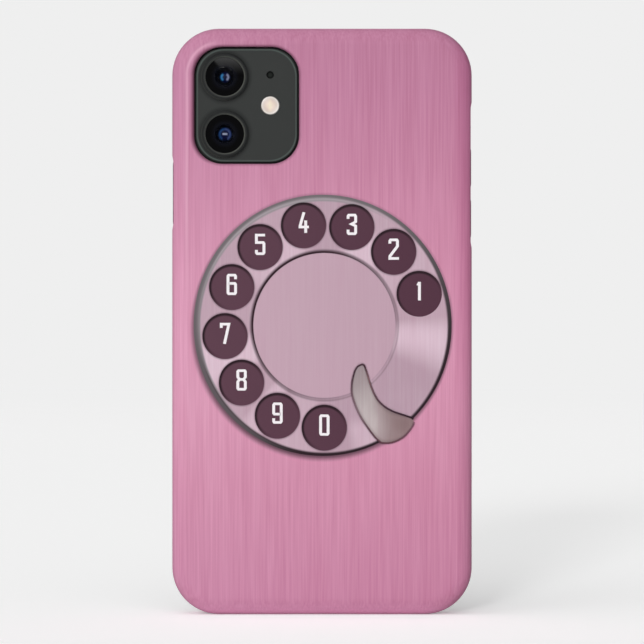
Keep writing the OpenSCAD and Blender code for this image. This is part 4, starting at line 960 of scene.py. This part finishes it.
def screenFinish():
    recipe = newFinish("screenGlass", Specular_IOR_Level=0.45)
    x, y, z = recipe.millimetres()
    low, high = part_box("display_panel")
    size = [length / mm - 2 * screen["border"] for length in (high.x - low.x, high.z - low.z)]
    middle = middleOf("display_panel")
    edge = squareRound(recipe, x, z, {"middle": middle, "size": size, "corner": screen["corner"]})
    notchFoot = middle[1] + size[1] / 2 - screen["notchTall"]
    notch = recipe.most(abs(x) - screen["notchHalf"], notchFoot - z)
    shown = recipe.until(edge, -screen["soft"], screen["soft"])
    shown = shown * recipe.fade(notch, -screen["notchSoft"], screen["notchSoft"])
    body = recipe.between(shown, screen["borderTone"], screen["panelTone"])
    eye = fromMiddle(recipe, x, z, "front_camera")
    body = recipe.paint(recipe.line(eye, *screen["eyeRing"]), body, screen["eyeRingCoat"])
    body = recipe.paint(recipe.until(eye, *screen["eye"]), body, screen["eyeCoat"])
    smearAcross, smearUp = screen["smear"]
    smear = recipe.noise(x * smearAcross, y, z * smearUp, detail=3.0)
    return wear(recipe, Base_Color=body, Roughness=rough(screen, smear))


def plainFinish(name, dark, light, roughness, grain, depth=0.0, metallic=0.0, stretch=(1, 1, 1)):
    # Two close tones mixed by a noise of the grain's size in mm, with the roughness following it and
    # a little relief from a noise that is four times as fine.
    recipe = newFinish(name, Metallic=metallic)
    places = [along / longer for along, longer in zip(recipe.millimetres(), stretch)]
    field = recipe.noise(*places, scale=1 / grain, detail=3.0, roughness=0.6)
    fine = recipe.noise(*places, scale=4 / grain, detail=2.0)
    feeds = {"Base_Color": recipe.between(field, dark, light),
             "Roughness": roughness[0] + field * (roughness[1] - roughness[0])}
    if depth:
        feeds["Normal"] = recipe.bump(fine, depth)
    return wear(recipe, **feeds)


# slot: name, dark and light tone, least and most roughness, grain and relief in mm, metal, stretch
plainLooks = {
    "side_band": ("anodisedBand", (34, 34, 36), (46, 46, 49), (0.28, 0.42), 0.9, 0.004, 1.0, (1, 1, 12)),
    "aerial_break": ("breakPlastic", (36, 36, 38), (44, 44, 46), (0.4, 0.5), 0.6, 0.003),
    "plate": ("milledPlate", (138, 140, 144), (156, 158, 162), (0.32, 0.45), 0.8, 0.01, 1.0, (8, 1, 1)),
    "gasket": ("softGasket", (18, 18, 18), (26, 26, 26), (0.7, 0.85), 0.4, 0.01),
    "display": ("displayLayers", (14, 14, 18), (20, 20, 26), (0.25, 0.35), 1.5),
    "dark_plastic": ("mouldedBlack", (24, 24, 26), (34, 34, 36), (0.45, 0.6), 0.5, 0.01),
    "camera_body": ("cameraBody", (84, 84, 88), (100, 100, 104), (0.35, 0.5), 0.7, 0.006, 0.8),
    "circuit": ("circuitBoard", (16, 52, 34), (28, 70, 48), (0.35, 0.5), 0.8, 0.01),
    "flash_module": ("flashModule", (206, 196, 120), (226, 214, 140), (0.4, 0.5), 0.6),
    "button": ("anodisedButton", (46, 45, 47), (58, 57, 59), (0.35, 0.45), 0.5, 0.003, 0.3, (1, 1, 8)),
    "switch": ("switchBody", (176, 174, 162), (196, 194, 182), (0.4, 0.5), 0.5, 0.004),
    "orange_mark": ("orangeMark", (224, 92, 24), (238, 108, 34), (0.5, 0.6), 0.4),
    "shield": ("shieldTin", (172, 174, 178), (192, 194, 198), (0.3, 0.42), 1.2, 0.006, 1.0),
    "battery": ("batteryWrap", (26, 26, 28), (38, 38, 40), (0.35, 0.5), 2.5, 0.02),
    "adhesive": ("pullTape", (222, 222, 212), (236, 236, 228), (0.6, 0.7), 1.0, 0.005),
    "copper": ("coilCopper", (176, 104, 58), (202, 126, 74), (0.25, 0.4), 0.4, 0.01, 1.0),
    "ferrite": ("ferriteSheet", (34, 34, 36), (44, 44, 46), (0.6, 0.75), 0.5, 0.005),
    "ribbon": ("flexRibbon", (110, 66, 24), (132, 82, 34), (0.35, 0.5), 0.8, 0.004),
    "weight": ("sinteredWeight", (110, 110, 114), (130, 130, 134), (0.4, 0.5), 0.4, 0.01, 1.0),
    "screw": ("blackScrew", (96, 96, 100), (116, 116, 120), (0.3, 0.4), 0.3, 0.003, 1.0),
}
finishes = {slot: plainFinish(*look) for slot, look in plainLooks.items()}
finishes.update({
    "case": caseFinish(), "back_glass": backGlassFinish(), "screen_glass": screenFinish(),
    "dark_mesh": meshFinish(), "camera_black": barrelFinish(), "lens_ring": ringMetalFinish(),
    "lens_cover": coverFinish(), "lens_element": elementFinish(), "flash_window": flashFinish()})

for name, node in cadNodes.items():
    for place in node.material_slots:
        place.link = "OBJECT"
        place.material = finishes[slotOf[name]]
print("solids finished,", len(finishes), "finishes")


# Lengths in mm and angles in degrees. The view is set so that pixelsPerMm holds at silhouetteDepth.
studio = {"camera": 800.0, "lookAt": (0.0, 76.84), "silhouetteDepth": -1.7, "pixelsPerMm": 3.8, "image": 644,
          "sensor": 36.0, "backdrop": (239, 239, 239), "world": 0.26,
          "key": {"turn": -13.5, "rise": 15.5, "spread": 11.0, "level": 0.378},
          "fill": {"turn": -38.0, "rise": 50.0, "spread": 80.0, "level": 0.37}}
floorLook = {"half": 9000.0, "tone": 0.875, "white": 0.95, "tint": (0.84, 0.95, 0.92), "tintStart": (-0.5, 0.5),
             "tintEnd": (0.5, 14.0), "tintAside": (26.0, 38.0), "away": (900.0, 2600.0)}
glossCard = {"lens": "upper_lens_cover", "apart": 0.5, "level": 12.0, "least": 0.5, "rise": 4.6, "power": 1.8,
             "corners": [(-3.6, 5.4), (5.6, 5.4), (5.6, 0.0), (0.45, 0.0)]}
whiteLight = (1, 1, 1, 1)


def stageFinish(name):  # a material with no nodes yet, for the floor or the card
    material = bpy.data.materials.new(name)
    material.use_nodes = True
    return material, Recipe(material.node_tree)


def glowing(recipe, colour, strength):
    return recipe.out(recipe.add("ShaderNodeEmission", None, {"Color": colour, "Strength": strength}))


def seenDirectly(recipe):  # 1 for camera, mirror and glass rays
    path = recipe.add("ShaderNodeLightPath")
    direct = recipe.most(recipe.out(path, "Is Camera Ray"), recipe.out(path, "Is Glossy Ray"))
    return recipe.most(direct, recipe.out(path, "Is Transmission Ray"))


def addSun(name, turn, rise, spread, level):  # a distant lamp; level 1 lights a white card that faces it fully
    lamp = bpy.data.lights.new(name, "SUN")
    lamp.energy = level * math.pi
    lamp.angle = math.radians(spread)
    sun = bpy.data.objects.new(name, lamp)
    a, e = math.radians(turn), math.radians(rise)
    towards = Vector((math.sin(a) * math.cos(e), -math.cos(a) * math.cos(e), math.sin(e)))
    sun.rotation_mode = "QUATERNION"
    sun.rotation_quaternion = towards.to_track_quat("Z", "Y")
    bpy.context.scene.collection.objects.link(sun)


def buildCard():
    # A small bright card half way to the camera, where the flat cover mirrors it: a point at (a, b) on the
    # cover mirrors the point that lies as far beyond it on the line from the camera. Corners are in mm
    # from the cover's middle, and only mirror rays see the card.
    low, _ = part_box(glossCard["lens"])
    faceAt, share = low.y / mm, glossCard["apart"]
    eye = studio["silhouetteDepth"] - studio["camera"]
    spread = 1 + share
    corners = np.array(glossCard["corners"]) + middleOf(glossCard["lens"])
    flat = np.array(studio["lookAt"]) + (corners - studio["lookAt"]) * spread
    depth = np.full(len(flat), faceAt - (faceAt - eye) * share)
    card = makeMesh("glossCard", np.stack([flat[:, 0], depth, flat[:, 1]], 1), [[0, 1, 2, 3]])
    material, recipe = stageFinish("glossCardLight")
    z = recipe.millimetres()[2]
    height = recipe.within((z - float(flat[:, 1].min())) / (glossCard["rise"] * spread))
    strength = height ** glossCard["power"] * glossCard["level"] + glossCard["least"]
    recipe.add("ShaderNodeOutputMaterial", None, {"Surface": glowing(recipe, whiteLight, strength)})
    card.data.materials.append(material)
    card.visible_camera = card.visible_diffuse = card.visible_shadow = card.visible_transmission = False


def buildWorld():  # pale for what is seen directly, a weaker plain light on the object
    world = bpy.data.worlds.new("paleRoom")
    bpy.context.scene.world = world
    world.use_nodes = True
    recipe = Recipe(world.node_tree)
    lit = recipe.add("ShaderNodeBackground", None, {"Color": whiteLight, "Strength": studio["world"]})
    shown = recipe.add("ShaderNodeBackground", None, {"Color": tone(*studio["backdrop"]), "Strength": 1.0})
    mixed = recipe.add("ShaderNodeMixShader", None,
                       {0: seenDirectly(recipe), 1: recipe.out(lit), 2: recipe.out(shown)})
    recipe.add("ShaderNodeOutputWorld", None, {"Surface": recipe.out(mixed)})


def buildFloor():
    # A wide square. Close in front of the case it is less red, against the pink that the case throws
    # on it. Its own glow adds what the open floor lacks under the lamps and the world, and far away it
    # passes into the backdrop.
    side = floorLook["half"]
    corners = [(-side, -side, 0), (side, -side, 0), (side, side, 0), (-side, side, 0)]
    floor = makeMesh("paleFloor", corners, [[0, 1, 2, 3]])
    material, recipe = stageFinish("paleFloorPaint")
    x, y, _ = recipe.millimetres()
    white = floorLook["white"]
    ahead = backFace - y  # how far in front of the back the floor is
    near = recipe.fade(ahead, *floorLook["tintStart"]) * recipe.until(ahead, *floorLook["tintEnd"])
    near = near * recipe.until(abs(x), *floorLook["tintAside"])
    tinted = tuple(part * white for part in floorLook["tint"]) + (1,)
    matt = recipe.add("ShaderNodeBsdfDiffuse", None,
                      {"Color": recipe.blend(near, (white, white, white, 1), tinted)})
    lamps = sum(lamp["level"] * math.sin(math.radians(lamp["rise"]))
                for lamp in (studio["key"], studio["fill"]))
    lift = floorLook["tone"] - white * (studio["world"] + lamps)
    glow = glowing(recipe, whiteLight, seenDirectly(recipe) * lift)
    both = recipe.add("ShaderNodeAddShader", None, {0: recipe.out(matt), 1: glow})
    far = glowing(recipe, tone(*studio["backdrop"]), 1.0)
    mixed = recipe.add("ShaderNodeMixShader", None, {0: recipe.fade(recipe.apart(x, y), *floorLook["away"]),
                                                     1: recipe.out(both), 2: far})
    recipe.add("ShaderNodeOutputMaterial", None, {"Surface": recipe.out(mixed)})
    floor.data.materials.append(material)


def buildCamera():  # level and straight in front
    lens = bpy.data.cameras.new("frontCamera")
    camera = bpy.data.objects.new("frontCamera", lens)
    bpy.context.scene.collection.objects.link(camera)
    bpy.context.scene.camera = camera
    lookX, lookZ = studio["lookAt"]
    camera.location = (lookX * mm, (studio["silhouetteDepth"] - studio["camera"]) * mm, lookZ * mm)
    camera.rotation_euler = (math.pi / 2, 0, 0)
    lens.sensor_width = studio["sensor"]
    lens.lens = studio["sensor"] * studio["camera"] * studio["pixelsPerMm"] / studio["image"]


buildWorld()
buildFloor()
buildCard()
addSun("keyLamp", **studio["key"])
addSun("fillLamp", **studio["fill"])
buildCamera()
bpy.context.scene.view_settings.view_transform = "Standard"
print("studio set")

bpy.context.view_layer.update()
